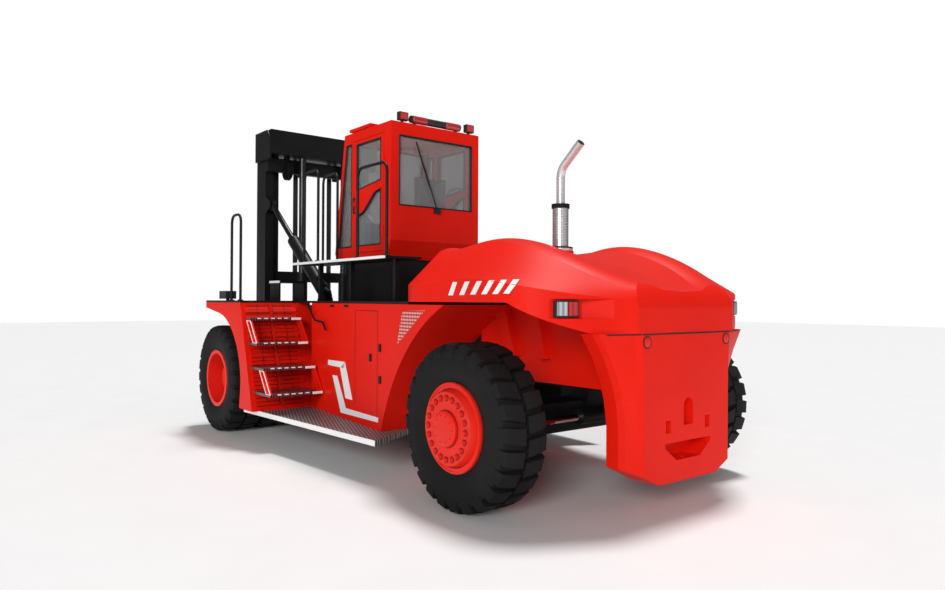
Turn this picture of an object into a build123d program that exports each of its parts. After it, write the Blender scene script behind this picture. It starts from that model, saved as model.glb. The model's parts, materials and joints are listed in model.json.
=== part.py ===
"""Heavy diesel forklift: chassis, steered rear axle, twin drive wheels, cab and two-stage mast.

+X is forward, +Y left, +Z up. Lengths along X are measured from the rear axle while modelling;
write() then shifts each piece so that the origin lies on the ground under the middle of the machine.
"""
from build123d import *
import math
import os

# Driving dimensions, mm
FAR = 9000                # beyond every piece, for cuts
GAP = 0.3                 # seat clearance between pieces that move on each other
RUN = 10                  # room left beside sliding mast sections

TYRE_OD = 1600
TYRE_W = 520
LUGS = 24                 # lugs along each side of a tyre
LUG_SHARE = 0.62          # of the pitch that a lug takes at its tip
LUG_DEPTH = 45
LUG_EDGE = 24             # lugs end this far in from the tyre's side
RIM_R = 395               # tyre seat
RIM_WALL = 24
FLANGE_R = 425
RIM_W = 470
FLANGE_W = 24
WHEELBASE = 5620
REAR_HALF_TRACK = 1630
FRONT_HALF_TRACK = 1850
TWIN_SPACING = 560
DISC_T = 32
REAR_DISC = 110           # rear wheel disc, out from the tyre's middle
HUB_R = 165
SPINDLE_R = 80
DRIVE_SPINDLE_R = 110
DRIVE_HUB_R = 270

KINGPIN_HALF = 1200
KINGPIN_R = 50
BOSS_R = 110
BOSS_H = 230
YOKE_T = 70
AXLE_BEAM = (340, 1040, 300)   # length along X, half width, height
ARM = 240                 # steering arm, back from the kingpin
ARM_ROOM = 35             # beam left behind the axle line where the arms swing
ROD_R = 36
CYL_R = 75
CYL_HALF = 430
LINK_T = 36

FRAME_IN = 520
FRAME_T = 150
FRAME_TOP = 1900
FRAME_LOW = 600
FRAME_HIGH = 1130         # lower edge over the axles
HINGE_X = WHEELBASE + 630
HINGE_Z = 700
HINGE_R = 60

DECK_Z = 1975
DECK_T = 30
BOARD_Z = 460
BOARD_T = 60
BOARD_IN = (75, 264)      # board's outer edge, in from the fender's side, at its front and rear
BODY_FRONT = WHEELBASE - 1420
FLARE = 0.115             # side panels widen towards the rear
BODY_HALF = 1220          # at BODY_FRONT
FENDER_IN = 1030
FENDER_OUT = 2100
FENDER_TIP = WHEELBASE + 430
ARCH_R = 1000
WALL_LEAN = 450           # stair wall, top ahead of its foot
LOUVRE_PITCH = 92
LOUVRE_H = 60
LOUVRE_OUT = 24
TREAD_T = 35
STEP_FRAME = (130, 28, 25)     # length along X, bar width, thickness

HOOD_FRONT = 1200
HOOD_LOW = 1700
HOOD_WALL = 100
HOOD_ROUND = [(0, 1930), (55, 2090), (220, 2205)]   # rear edge: ahead of the rear face, Z
STACK_X = 430
LAMP_SIZE = (40, 240, 150)     # depth, width, height of a rear lamp
LAMP_Z = 1922
LAMP_RECESS = [(-860, 1470), (-1225, 890), (-960, 1140)]   # plan: front, rear and inner corner
RECESS_OUT = 300          # cut carried out through the hood's bulging corner
REAR_FACE = -1280
REAR_ARCH = [(420, DECK_Z - DECK_T), (1290, 1380), (1870, BOARD_Z)]   # X, Z along its edge
WEIGHT_FRONT = -950
WEIGHT_LOW = 300
TOW_PIN_R = 28
TOW_SLOT = (75, 820, 1000)     # half width, foot, middle of its round top
TOW_POCKET = (360, 190, 500, 670)   # half width at the top, at the foot, foot, top

CAB_REAR = WHEELBASE - 2780
CAB_HALF = 750
CAB_LOW = 2550
CAB_TOP = 4400
CAB_FRONT_LOW = CAB_REAR + 1550
CAB_FRONT_TOP = CAB_REAR + 1270
CAB_WALL = 60
CAB_TAPER = 250           # height of the drawn-in lower edge
GLASS_T = 8
DOOR_X = (CAB_REAR + 190, CAB_REAR + 990)
DOOR_Z = (2660, 4270)
DOOR_GAP = 6
DOOR_FRAME = 70
HINGE_PIN_R = 12

CATWALK_Z = 2530
CATWALK_T = 30
CATWALK_X = (CAB_REAR - 780, CAB_REAR + 1780)
CATWALK_OUT = 1320
RAIL_R = 19
RAIL_BEND = 110

MAST_X = HINGE_X + 200    # rear of the outer uprights
MAST_D = 360
MAST_HALF = 980
MAST_FLANGE = 150
MAST_PLATE = 42
MAST_LOW = 260
OUTER_TOP = 4400
TIE_T = 100
HEAD_H = 400
HEAD_HALF = 1010
HEAD_CAP = 30
SHEAVE_R = 85
SHEAVE_X = MAST_X + 120
SHEAVE_DROP = 160         # below the head beam
CHAIN_T = 26
CHAIN_W = 80
CHAIN_Y = 330
LIFT_CYL_X = MAST_X - 215
LIFT_CYL_Y = 400
LIFT_CYL_R = 90
LIFT_ROD_R = 60
CARRIAGE_LOW = 330
CARRIAGE_H = 1250
CARRIAGE_HALF = 1150
CARRIAGE_T = 110
FORK_T = 110
FORK_W = 260
FORK_LEN = 2440
FORK_Y = 520
FORK_UNDER = 60           # ground clearance of the lowered forks

TILT_BASE = (WHEELBASE - 1220, 2075)
TILT_EYE = (MAST_X - 120, 3600)
TILT_Y = 905
TILT_R = 95
TILT_ROD_R = 45
TILT_BARREL = 1400
TILT_PIN_R = 40
EYE_ROOM = 24             # the rod's eye rides clear of its pin

TYRE_R = TYRE_OD / 2
FORK_FACE = MAST_X + MAST_D + 60 + CARRIAGE_T + FORK_T
FORK_TIP = FORK_FACE + FORK_LEN
MID_X = (FORK_TIP + REAR_FACE) / 2
BODY_TOP = DECK_Z - DECK_T


def write(name, *solids):
    """Shift a node's solids to the machine's origin and save them."""
    node = Pos(-MID_X, 0, 0) * Compound(children=[s for solid in solids for s in solid.solids()])
    export_step(node, f"parts/{name}.step")


def block(x, y, z):
    """Box from three (low, high) pairs."""
    return Pos(sum(x) / 2, sum(y) / 2, sum(z) / 2) * Box(x[1] - x[0], y[1] - y[0], z[1] - z[0])


def outline(points):
    return make_face(Polyline(*points, close=True).edges())


def across(face, y):
    """Side-view face (X, Z) extruded between two Y values."""
    return extrude(Plane.XZ.offset(-y[0]) * face, amount=y[0] - y[1])


def upward(face, z):
    """Plan face (X, Y) extruded between two heights."""
    return extrude(Pos(0, 0, z[0]) * face, amount=z[1] - z[0])


def along(face, x):
    """Rear-view face (Y, Z) extruded between two X values."""
    return extrude(Plane.YZ.offset(x[0]) * face, amount=x[1] - x[0])


def rod_x(r, x, y, z):
    return Pos(sum(x) / 2, y, z) * Rot(0, 90, 0) * Cylinder(r, x[1] - x[0])


def rod_y(r, x, y, z):
    return Pos(x, sum(y) / 2, z) * Rot(90, 0, 0) * Cylinder(r, y[1] - y[0])


def rod_z(r, x, y, z):
    return Pos(x, y, sum(z) / 2) * Cylinder(r, z[1] - z[0])


def other_side(solid):
    return mirror(solid, about=Plane.XZ)


def both(solid):
    return [solid, other_side(solid)]


def hoop(x0, x1, y, foot, top):
    """Round handrail: two posts and a top bar, mitred round each bend in short straight runs."""
    points = [(x0, y, foot)]
    for x, angles in ((x0 + RAIL_BEND, (180, 150, 120, 90)), (x1 - RAIL_BEND, (90, 60, 30, 0))):
        for angle in angles:
            turn = math.radians(angle)
            points.append((x + RAIL_BEND * math.cos(turn), y, top - RAIL_BEND + RAIL_BEND * math.sin(turn)))
    points.append((x1, y, foot))
    path = Polyline(*points)
    return sweep(Plane(points[0], z_dir=(0, 0, 1)) * Circle(RAIL_R), path=path, transition=Transition.RIGHT)


def tube(points, radius, bend):
    """Round bar along straight runs with bends of one radius."""
    path = FilletPolyline(*points, radius=bend)
    return sweep(Plane(path @ 0, z_dir=path % 0) * Circle(radius), path=path)


# Wheels, each at its own middle with the axle along Y, the outer side towards +Y
def lug_outline(phase):
    """Ring of lugs seen from the side, turned by a share of their pitch."""
    pitch = 2 * math.pi / LUGS
    tip = pitch * LUG_SHARE / 2
    tip_r = TYRE_R / math.cos(min(tip, pitch / 2 - tip))   # so that either row just meets the ground
    points = []
    for i in range(LUGS):
        middle = pitch * (i + phase)
        for turn, r in ((-1.15 * tip, TYRE_R - LUG_DEPTH), (-tip, tip_r),
                        (tip, tip_r), (1.15 * tip, TYRE_R - LUG_DEPTH)):
            points.append((r * math.sin(middle + turn), -r * math.cos(middle + turn)))
    return outline(points)


def tyre():
    """Two staggered rows of lugs between sloping side walls."""
    half = TYRE_W / 2
    bead = RIM_W / 2 - FLANGE_W - GAP
    low = RIM_R + GAP
    side = low + 0.45 * (TYRE_R - low)
    shoulder = (half - LUG_EDGE, TYRE_R - LUG_DEPTH - 25)
    right = [(bead, low), (bead, FLANGE_R + 4), (half, side), (half, shoulder[1] - 20), shoulder]
    body = revolve(Plane.YZ * outline(right + [(-y, r) for y, r in reversed(right)]), axis=Axis.Y)
    hole = rod_y(shoulder[1] - 60, 0, (-half, half), 0)
    rows = across(lug_outline(0), (0, shoulder[0])) + across(lug_outline(0.5), (-shoulder[0], 0))
    return body + (rows - hole)


def rim(disc):
    half = RIM_W / 2
    barrel = rod_y(RIM_R, 0, (-half, half), 0)
    for side in (-half, half - FLANGE_W):
        barrel += rod_y(FLANGE_R, 0, (side, side + FLANGE_W), 0)
    barrel -= rod_y(RIM_R - RIM_WALL, 0, (-half, half), 0)
    return barrel + rod_y(RIM_R - RIM_WALL / 2, 0, (disc - DISC_T, disc), 0)


def rear_rim():
    hub = rod_y(HUB_R, 0, (REAR_DISC - 150, REAR_DISC + 45), 0)
    bore = rod_y(SPINDLE_R + GAP, 0, (REAR_DISC - 160, REAR_DISC), 0)
    return rim(REAR_DISC) + hub - bore


def front_rims():
    """Twin rims bolted to one planetary hub, placed about the outer tyre's middle."""
    mate = -TWIN_SPACING / 2
    outer = rim(DISC_T - RIM_W / 2)
    inner = Pos(0, -TWIN_SPACING, 0) * rim(RIM_W / 2)
    hub = rod_y(DRIVE_HUB_R, 0, (mate - 100, mate + 300), 0) + rod_y(HUB_R, 0, (mate + 290, mate + 370), 0)
    bore = rod_y(DRIVE_SPINDLE_R + GAP, 0, (mate - 110, mate + 200), 0)
    return outer + inner + hub - bore


def wheels():
    rear_tyre = Pos(0, REAR_HALF_TRACK, TYRE_R) * tyre()
    rear_wheel = Pos(0, REAR_HALF_TRACK, TYRE_R) * rear_rim()
    outer = Pos(WHEELBASE, FRONT_HALF_TRACK, TYRE_R) * tyre()
    inner = Pos(0, -TWIN_SPACING, 0) * outer
    twin = Pos(WHEELBASE, FRONT_HALF_TRACK, TYRE_R) * front_rims()
    for side, place in (("left", lambda s: s), ("right", other_side)):
        write(f"rear_tyre_{side}", place(rear_tyre))
        write(f"rear_rim_{side}", place(rear_wheel))
        write(f"front_tyres_{side}", place(outer), place(inner))
        write(f"front_rims_{side}", place(twin))


# Steered axle with its knuckles and cylinder
def steering():
    length, half, height = AXLE_BEAM
    low, high = TYRE_R - BOSS_H / 2, TYRE_R + BOSS_H / 2
    beam = block((-length / 2, length / 2), (-half, half), (TYRE_R - height / 2, TYRE_R + height / 2))
    for y in ((half - 110, half), (-half, 110 - half)):   # room for the arms at full lock
        beam -= block((-length / 2, -ARM_ROOM), y, (TYRE_R - height / 2, TYRE_R))
    beam += block((-200, 200), (-220, 220), (TYRE_R, FRAME_HIGH))
    for side in (1, -1):
        for z in ((low - GAP - YOKE_T, low - GAP), (high + GAP, high + GAP + YOKE_T)):
            beam += rod_z(BOSS_R, 0, side * KINGPIN_HALF, z)
            beam += Pos(0, side * (KINGPIN_HALF + half) / 2 - side * 60, sum(z) / 2) * Box(
                2 * BOSS_R, KINGPIN_HALF - half + 120, YOKE_T)
        beam += rod_z(KINGPIN_R, 0, side * KINGPIN_HALF, (low - YOKE_T, high + YOKE_T))
    rod_x_place = -length / 2 - CYL_R - 20
    cylinder = rod_y(CYL_R, rod_x_place, (-CYL_HALF, CYL_HALF), TYRE_R)
    cylinder -= rod_y(ROD_R + GAP, rod_x_place, (-CYL_HALF, CYL_HALF), TYRE_R)
    for y in (-CYL_HALF + 60, CYL_HALF - 60):
        foot = block((rod_x_place, -length / 2 + 20), (y - 40, y + 40), (TYRE_R - 60, TYRE_R + 60))
        cylinder += foot - rod_y(CYL_R - 5, rod_x_place, (y - 50, y + 50), TYRE_R)
    write("steer_axle", beam + cylinder)

    reach = KINGPIN_HALF - 330
    bar = rod_y(ROD_R, rod_x_place, (-reach, reach), TYRE_R)
    for side in (1, -1):
        end = side * (reach - 40)
        bar += block((rod_x_place - 55, rod_x_place + 55), sorted((end, side * KINGPIN_HALF)),
                     (TYRE_R - LINK_T / 2, TYRE_R + LINK_T / 2))
        bar += rod_z(62, rod_x_place, side * KINGPIN_HALF, (TYRE_R - LINK_T / 2, TYRE_R + LINK_T / 2))
    write("steer_rod", bar)

    knuckle = rod_z(BOSS_R, 0, KINGPIN_HALF, (low, high))
    knuckle += rod_y(SPINDLE_R, 0, (KINGPIN_HALF, REAR_HALF_TRACK + REAR_DISC - 1), TYRE_R)
    knuckle += rod_y(SPINDLE_R + 22, 0, (KINGPIN_HALF, REAR_HALF_TRACK + REAR_DISC - 150 - GAP), TYRE_R)
    arm_low = TYRE_R - LINK_T / 2 - 6
    knuckle += block((-ARM, 0), (KINGPIN_HALF - 55, KINGPIN_HALF + 55), (low + 8, arm_low))
    knuckle += rod_z(55, -ARM, KINGPIN_HALF, (low + 8, arm_low))
    knuckle -= rod_z(KINGPIN_R + GAP, 0, KINGPIN_HALF, (low - 1, high + 1))
    write("knuckle_left", knuckle)
    write("knuckle_right", other_side(knuckle))


# Main frame, drive axle and engine
def frame():
    side = [(WEIGHT_FRONT, FRAME_HIGH), (500, FRAME_HIGH), (1150, FRAME_LOW), (WHEELBASE - 970, FRAME_LOW),
            (WHEELBASE - 470, FRAME_HIGH), (WHEELBASE + 380, FRAME_HIGH), (HINGE_X - 200, HINGE_Z - 100),
            (HINGE_X, HINGE_Z - 110), (HINGE_X + 80, HINGE_Z), (HINGE_X, HINGE_Z + 110),
            (HINGE_X - 150, FRAME_TOP - 500), (HINGE_X - 300, FRAME_TOP), (WEIGHT_FRONT, FRAME_TOP)]
    rails = across(outline(side), (FRAME_IN, FRAME_IN + FRAME_T))
    rails += other_side(rails)
    for x in (-800, 1250, WHEELBASE - 2720, WHEELBASE - 1070, WHEELBASE + 180):
        rails += block((x, x + 60), (-FRAME_IN, FRAME_IN), (FRAME_HIGH, FRAME_TOP - 100))
    rails += block((-250, 250), (-FRAME_IN, FRAME_IN), (FRAME_HIGH, FRAME_HIGH + 60))
    pin = rod_y(HINGE_R, HINGE_X, (FRAME_IN + 20, MAST_HALF - 40), HINGE_Z)
    rails += pin + other_side(pin)
    write("main_frame", rails)

    mate = FRONT_HALF_TRACK - TWIN_SPACING / 2
    axle = rod_y(170, WHEELBASE, (-mate + 100, mate - 100), TYRE_R)
    axle += rod_y(DRIVE_SPINDLE_R, WHEELBASE, (-mate - 190, mate + 190), TYRE_R)
    axle += Pos(WHEELBASE, 0, TYRE_R) * Sphere(370)
    pad = block((WHEELBASE - 190, WHEELBASE + 190), (FRAME_IN, FRAME_IN + FRAME_T), (TYRE_R, FRAME_HIGH))
    axle += pad + other_side(pad)
    drum = rod_y(260, WHEELBASE, (mate - 300, mate - 100 - GAP), TYRE_R)
    axle += drum + other_side(drum)
    write("front_axle", axle)
    write("engine_block", block((-350, 1080), (-420, 420), (FRAME_HIGH + 60, 2180)))


def panel_half(x):
    """Half width of the flared side panel."""
    return BODY_HALF + (BODY_FRONT - x) * FLARE


def wall_x(z):
    """Rear face of the leaning stair wall."""
    return BODY_FRONT + WALL_LEAN * (z - BOARD_Z) / (BODY_TOP - BOARD_Z)


# Side bodies, fenders, steps, boards and deck
def bodywork():
    inner = FRAME_IN + FRAME_T
    arch = REAR_ARCH
    plan = outline([(300, inner), (300, panel_half(300)), (BODY_FRONT, BODY_HALF), (BODY_FRONT, inner)])
    side = upward(plan, (BOARD_Z, BODY_TOP))
    scoop = make_face([ThreePointArc(*arch), Line(arch[2], (0, BOARD_Z)), Line((0, BOARD_Z), (0, BODY_TOP)),
                       Line((0, BODY_TOP), arch[0])])
    side -= across(scoop, (inner - 1, 2200))
    write("side_bodies", *both(side))

    foot = WHEELBASE - ARCH_R
    profile = [Polyline((BODY_FRONT, BOARD_Z), (BODY_FRONT + WALL_LEAN, BODY_TOP), (FENDER_TIP, BODY_TOP),
                        (FENDER_TIP, BODY_TOP - 80), (WHEELBASE - 120, TYRE_R + ARCH_R - 10)),
               ThreePointArc((WHEELBASE - 120, TYRE_R + ARCH_R - 10),
                             (WHEELBASE - 0.72 * ARCH_R, TYRE_R + 0.69 * ARCH_R), (foot, TYRE_R)),
               Polyline((foot, TYRE_R), (foot + 40, BOARD_Z), (BODY_FRONT, BOARD_Z))]
    fender = across(make_face([e for p in profile for e in p.edges()]), (FENDER_IN, FENDER_OUT))
    fender -= block((0, BODY_FRONT + 1), (0, BODY_HALF + 1), (0, 3000))
    louvres = []
    middle = (BODY_HALF + FENDER_OUT) / 2
    for i in range(15):
        z = BOARD_Z + 70 + i * LOUVRE_PITCH
        slat = outline([(wall_x(z) - LOUVRE_OUT, z), (wall_x(z) + 5, z),
                        (wall_x(z + LOUVRE_H) + 5, z + LOUVRE_H),
                        (wall_x(z + LOUVRE_H), z + LOUVRE_H)])
        louvres += [across(slat, y) for y in ((BODY_HALF + 60, middle - 35),
                                              (middle + 35, FENDER_OUT - 60))]
    fender += louvres
    write("front_fenders", *both(fender))

    treads, frames = [], []
    tread_table = [(1730, BODY_FRONT + 190), (1395, BODY_FRONT - 40), (1065, BODY_FRONT - 270),
                   (735, BODY_FRONT - 500)]   # top, rear edge
    y = (panel_half(tread_table[-1][1]) + 10, FENDER_OUT - 50)
    for top, rear_edge in tread_table:
        treads.append(block((rear_edge, wall_x(top)), y, (top - TREAD_T, top)) - fender)
    length, bar, thick = STEP_FRAME
    for upper, lower in ((0, 1), (2, 3)):
        (z1, x1), (z0, x0) = tread_table[upper], tread_table[lower]
        ring = outline([(x0, z0), (x0 + length, z0), (x1 + length, z1 - TREAD_T), (x1, z1 - TREAD_T)])
        ring -= offset(ring, amount=-bar)
        frames += [across(ring, wall) for wall in ((y[0], y[0] + thick), (y[1] - thick, y[1]))]
    write("entry_steps", *[s for tread in treads for s in both(tread)])
    write("step_frames", *[s for piece in frames for s in both(piece)])

    board = outline([(foot + 40, FENDER_IN), (foot + 40, FENDER_OUT - BOARD_IN[0]),
                     (REAR_ARCH[2][0] - 450, FENDER_OUT - BOARD_IN[1]), (REAR_ARCH[2][0] + 30, inner + 300),
                     (BODY_FRONT, inner + 300), (BODY_FRONT, FENDER_IN)])
    write("running_boards", *both(upward(board, (BOARD_Z - BOARD_T, BOARD_Z))))

    edge = [(HOOD_FRONT, panel_half(HOOD_FRONT)), (BODY_FRONT, BODY_HALF),
            (BODY_FRONT + WALL_LEAN, BODY_HALF),
            (BODY_FRONT + WALL_LEAN, FENDER_OUT), (FENDER_TIP, FENDER_OUT), (FENDER_TIP, FENDER_IN),
            (WHEELBASE + 80, FENDER_IN)]
    deck = outline(edge + [(x, -y) for x, y in reversed(edge)])
    write("deck", upward(deck, (BODY_TOP, DECK_Z)))

    liner = block((WEIGHT_FRONT, 1000), (inner, inner + 20), (FRAME_HIGH + 20, DECK_Z))
    for foot_x, top_x in ((330, 520), (-120, 10)):
        rib = outline([(foot_x, 1400), (foot_x + 90, 1400), (top_x + 220, DECK_Z), (top_x, DECK_Z)])
        liner += across(rib, (inner, inner + 110))
    liner &= across(under_hood(), (0, FAR))
    liner -= block((300, 1100), (0, FAR), (0, DECK_Z)) - across(scoop, (0, FAR))
    write("arch_liners", *both(liner))


def under_hood():
    """Side view of the room below the hood's edge."""
    return outline([(HOOD_FRONT + 800, 1000), (HOOD_FRONT + 800, DECK_Z), (-550, DECK_Z),
                    (-1070, HOOD_LOW), (-1070, 1000)])


HOOD_STATIONS = [  # x, half width, skirt top, ridge y, ridge z, valley z
    (HOOD_FRONT, 1560, 2160, 950, 2590, 2470),
    (450, 1645, 2185, 950, 2640, 2500),
    (-350, 1725, 2175, 900, 2510, 2390),
    (-800, 1530, 2100, 800, 2320, 2240),
    (-1060, 1150, 2040, 660, 2200, 2140),
    (REAR_FACE, 750, 2000, 560, 2110, 2070),
]


def hood_section(x, half, skirt, ridge_y, ridge_z, valley):
    outer = (ridge_y + 180, ridge_z - 45)
    inside = (ridge_y - 260, ridge_z - 55)
    if half < 1000:
        outer = (ridge_y + 90, ridge_z - 25)
        inside = (ridge_y - 260, ridge_z - 15)
    edges = [Line((0, HOOD_LOW), (half, HOOD_LOW)), Line((half, HOOD_LOW), (half, skirt)),
             Line((half, skirt), outer),
             ThreePointArc(outer, (ridge_y, ridge_z), inside), Line(inside, (0, valley)),
             Line((0, valley), (0, HOOD_LOW))]
    return Plane.YZ.offset(x) * make_face(edges)


WEIGHT_SECTIONS = [  # height, half width at the sides, half width of the rear face
    (WEIGHT_LOW, 800, 715),
    (850, 800, 715),
    (1080, 835, 717),
    (1280, 900, 720),
    (1490, 1005, 728),
    (HOOD_LOW, 1150, 740),
]


def weight_plan(z, side, rear_half):
    pts = [(WEIGHT_FRONT, side), (-1090, side), (-1150, side - 25), (REAR_FACE + 40, rear_half + 10),
           (REAR_FACE, rear_half - 45)]
    return Pos(0, 0, z) * outline(pts + [(x, -y) for x, y in reversed(pts)])


def rear():
    half = loft([hood_section(*s) for s in HOOD_STATIONS])
    hood = half + other_side(half)
    start, bend, end = [(REAR_FACE + ahead, z) for ahead, z in HOOD_ROUND]
    over_front, over_rear = (end[0], CAB_LOW), (REAR_FACE - 50, CAB_LOW)
    behind = (REAR_FACE - 50, start[1])
    corner = [ThreePointArc(start, bend, end), Line(end, over_front), Line(over_front, over_rear),
              Line(over_rear, behind), Line(behind, start)]
    hood -= across(make_face(corner), (-FAR, FAR))
    hood -= across(under_hood(), (-FAR, FAR))
    cavity = [(HOOD_FRONT - HOOD_WALL, 1600), (HOOD_FRONT - HOOD_WALL, 2380), (0, 2330), (-950, 2020),
              (-950, 1600)]
    hood -= across(outline(cavity), (-FRAME_IN - FRAME_T, FRAME_IN + FRAME_T))
    boss = rod_z(150, STACK_X, 0, (2300, 2560))
    hood += boss
    front, back, inside = LAMP_RECESS
    depth, width, height = LAMP_SIZE
    span = math.hypot(back[0] - front[0], back[1] - front[1])
    out_x, out_y = RECESS_OUT * (back[1] - front[1]) / span, RECESS_OUT * (front[0] - back[0]) / span
    mouth = [front, (front[0] + out_x, front[1] + out_y), (back[0] + out_x, back[1] + out_y), back, inside]
    recess = upward(outline(mouth), (LAMP_Z - height / 2 - 12, LAMP_Z + height / 2 + 12))
    hood -= both(recess)
    turn = math.atan2(inside[0] - front[0], front[1] - inside[1])
    seat_x, seat_y = (front[0] + inside[0]) / 2, (front[1] + inside[1]) / 2
    seat = Pos(seat_x, seat_y, LAMP_Z) * Rot(0, 0, 180 + math.degrees(turn))
    lamp = seat * Pos(depth / 2, 0, 0) * Box(*LAMP_SIZE)
    lamps = both(lamp)
    hood -= lamps
    write("hood", hood)
    write("rear_lamps", *lamps)

    weight = loft([weight_plan(*row) for row in WEIGHT_SECTIONS], ruled=True)
    cut = along(outline([(450, WEIGHT_LOW), (1000, WEIGHT_LOW), (1000, 560)]), (REAR_FACE, WEIGHT_FRONT))
    weight -= cut + other_side(cut)
    wide, narrow, low, high = TOW_POCKET
    smile = outline([(-wide, high), (wide, high), (wide, high - 40), (narrow, low), (-narrow, low),
                     (-wide, high - 40)])
    weight -= along(smile, (REAR_FACE, REAR_FACE + 200))
    half, foot, round_top = TOW_SLOT
    slot_x = (REAR_FACE, REAR_FACE + 120)
    weight -= block(slot_x, (-half, half), (foot, round_top)) + rod_x(half, slot_x, 0, round_top)
    weight -= rod_z(TOW_PIN_R, REAR_FACE + 70, 0, (WEIGHT_LOW, foot + 80))
    for y in (-310, 310):
        weight -= block((REAR_FACE, REAR_FACE + 80), (y - 38, y + 38), (765, 880))
    write("counterweight", weight)

    stack = rod_z(140, STACK_X, 0, (2560, 2590)) + rod_z(87, STACK_X, 0, (2585, 3050))
    stack += rod_z(100, STACK_X, 0, (3050, 3090))
    stack += tube([(STACK_X, 0, 3080), (STACK_X, 0, 3480), (STACK_X - 310, 0, 3750)], 48, 200)
    write("exhaust_stack", stack)


# Cab, hollow, split where its panels meet
def cab():
    def shape(inset):
        return [(CAB_REAR + 110 + inset, CAB_LOW + inset),
                (CAB_REAR + inset, CAB_LOW + CAB_TAPER + inset * 0.4),
                (CAB_REAR + inset, CAB_TOP - inset), (CAB_FRONT_TOP - inset, CAB_TOP - inset),
                (CAB_FRONT_LOW - inset, CAB_LOW + 120 + inset * 0.4),
                (CAB_FRONT_LOW - 90 - inset, CAB_LOW + inset)]
    inner_half = CAB_HALF - CAB_WALL
    cab_mid = CAB_REAR + 660
    shell = across(outline(shape(0)), (-CAB_HALF, CAB_HALF)) - across(outline(shape(CAB_WALL)),
                                                                      (-inner_half, inner_half))
    floor_z, roof_z = CAB_LOW + CAB_WALL, CAB_TOP - CAB_WALL
    wide, all_x = (-FAR, FAR), (0, FAR)
    write("cab_floor", shell & block(all_x, wide, (0, floor_z)))
    roof = shell & block(all_x, wide, (roof_z, FAR))
    visor = block((CAB_FRONT_TOP - 550, CAB_FRONT_TOP + 40), (-650, 650), (CAB_TOP + 70, CAB_TOP + 110))
    visor -= block((CAB_FRONT_TOP - 480, CAB_FRONT_TOP - 30), (-580, 580), (CAB_TOP, CAB_TOP + 200))
    for x in (CAB_FRONT_TOP - 390, CAB_FRONT_TOP - 230):
        visor += block((x, x + 60), (-600, 600), (CAB_TOP + 75, CAB_TOP + 105))
    for x in (CAB_FRONT_TOP - 540, CAB_FRONT_TOP - 70):
        for y in (-640, 590):
            visor += block((x, x + 50), (y, y + 50), (CAB_TOP, CAB_TOP + 75))
    write("cab_roof", roof + visor)
    ring = shell & block(all_x, wide, (floor_z, roof_z))
    left = ring & block(all_x, (inner_half, CAB_HALF), (0, FAR))
    middle = ring & block(all_x, (-inner_half, inner_half), (0, FAR))
    rear_wall = middle & block((0, cab_mid), wide, (0, FAR))
    front_wall = middle & block((cab_mid, FAR), wide, (0, FAR))

    panes = []
    window = block((CAB_REAR - 100, cab_mid), (-620, 620), (3280, 4220))
    rear_wall -= window
    panes.append(block((CAB_REAR + 26, CAB_REAR + 26 + GLASS_T), (-620 + GAP, 620 - GAP),
                       (3280 + GAP, 4220 - GAP)))
    screen = block((cab_mid, FAR), (-630, 630), (2760, 4270))
    slope = (CAB_FRONT_TOP - CAB_FRONT_LOW) / (CAB_TOP - CAB_LOW - 120)
    def screen_x(z, back):
        return CAB_FRONT_LOW + slope * (z - CAB_LOW - 120) - back
    front_wall -= screen
    sheet = outline([(screen_x(2760, 34), 2760 + GAP), (screen_x(2760, 26), 2760 + GAP),
                     (screen_x(4270, 26), 4270 - GAP), (screen_x(4270, 34), 4270 - GAP)])
    panes.append(across(sheet, (-630 + GAP, 630 - GAP)))
    left -= block(DOOR_X, (600, 900), DOOR_Z)
    quarter = [(DOOR_X[1] + 70, 2760), (screen_x(2760, 90), 2760), (screen_x(4240, 90), 4240),
               (DOOR_X[1] + 70, 4240)]
    left -= across(outline(quarter), (600, 900))
    pane = offset(outline(quarter), amount=-GAP)
    quarter_pane = across(pane, (CAB_HALF - 34, CAB_HALF - 26))
    panes += both(quarter_pane)
    pin_y = CAB_HALF + HINGE_PIN_R + 1
    for z in (2900, 3900):
        left += block((DOOR_X[0] - 45, DOOR_X[0] + 4), (CAB_HALF, pin_y + HINGE_PIN_R), (z - 30, z))
    write("cab_rear_wall", rear_wall)
    write("cab_front_wall", front_wall)
    write("cab_left_wall", left)
    write("cab_right_wall", other_side(left))
    write("cab_glass", *panes)

    x = (DOOR_X[0] + DOOR_GAP, DOOR_X[1] - DOOR_GAP)
    z = (DOOR_Z[0] + DOOR_GAP, DOOR_Z[1] - DOOR_GAP)
    door = block(x, (inner_half, CAB_HALF), z)
    rear_x, front_x = x[0] + DOOR_FRAME, x[1] - DOOR_FRAME
    upper = [(rear_x, 3640), (front_x, 3560), (front_x, 4210), (rear_x, 4210)]
    lower = [(rear_x, 2760), (front_x, 2760), (front_x, 3180), (front_x - 190, 3240), (rear_x + 160, 3480),
             (rear_x, 3520)]
    door_panes = []
    for light in (outline(upper), outline(lower)):
        door -= across(light, (inner_half - 50, CAB_HALF + 50))
        door_panes.append(across(offset(light, amount=-GAP), (CAB_HALF - 34, CAB_HALF - 34 + GLASS_T)))
    for low in (2900, 3900):
        barrel = rod_z(HINGE_PIN_R, DOOR_X[0], pin_y, (low + GAP, low + 110))
        leaf = block((DOOR_X[0], x[0] + 60), (CAB_HALF, CAB_HALF + 10), (low + GAP, low + 110))
        door += barrel + leaf
    door += block((x[1] - 60, x[1] - 30), (CAB_HALF, CAB_HALF + 45), (3330, 3380))
    for side, place in (("left", lambda s: s), ("right", other_side)):
        write(f"cab_door_{side}", place(door))
        write(f"cab_door_glass_{side}", *[place(p) for p in door_panes])

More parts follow.
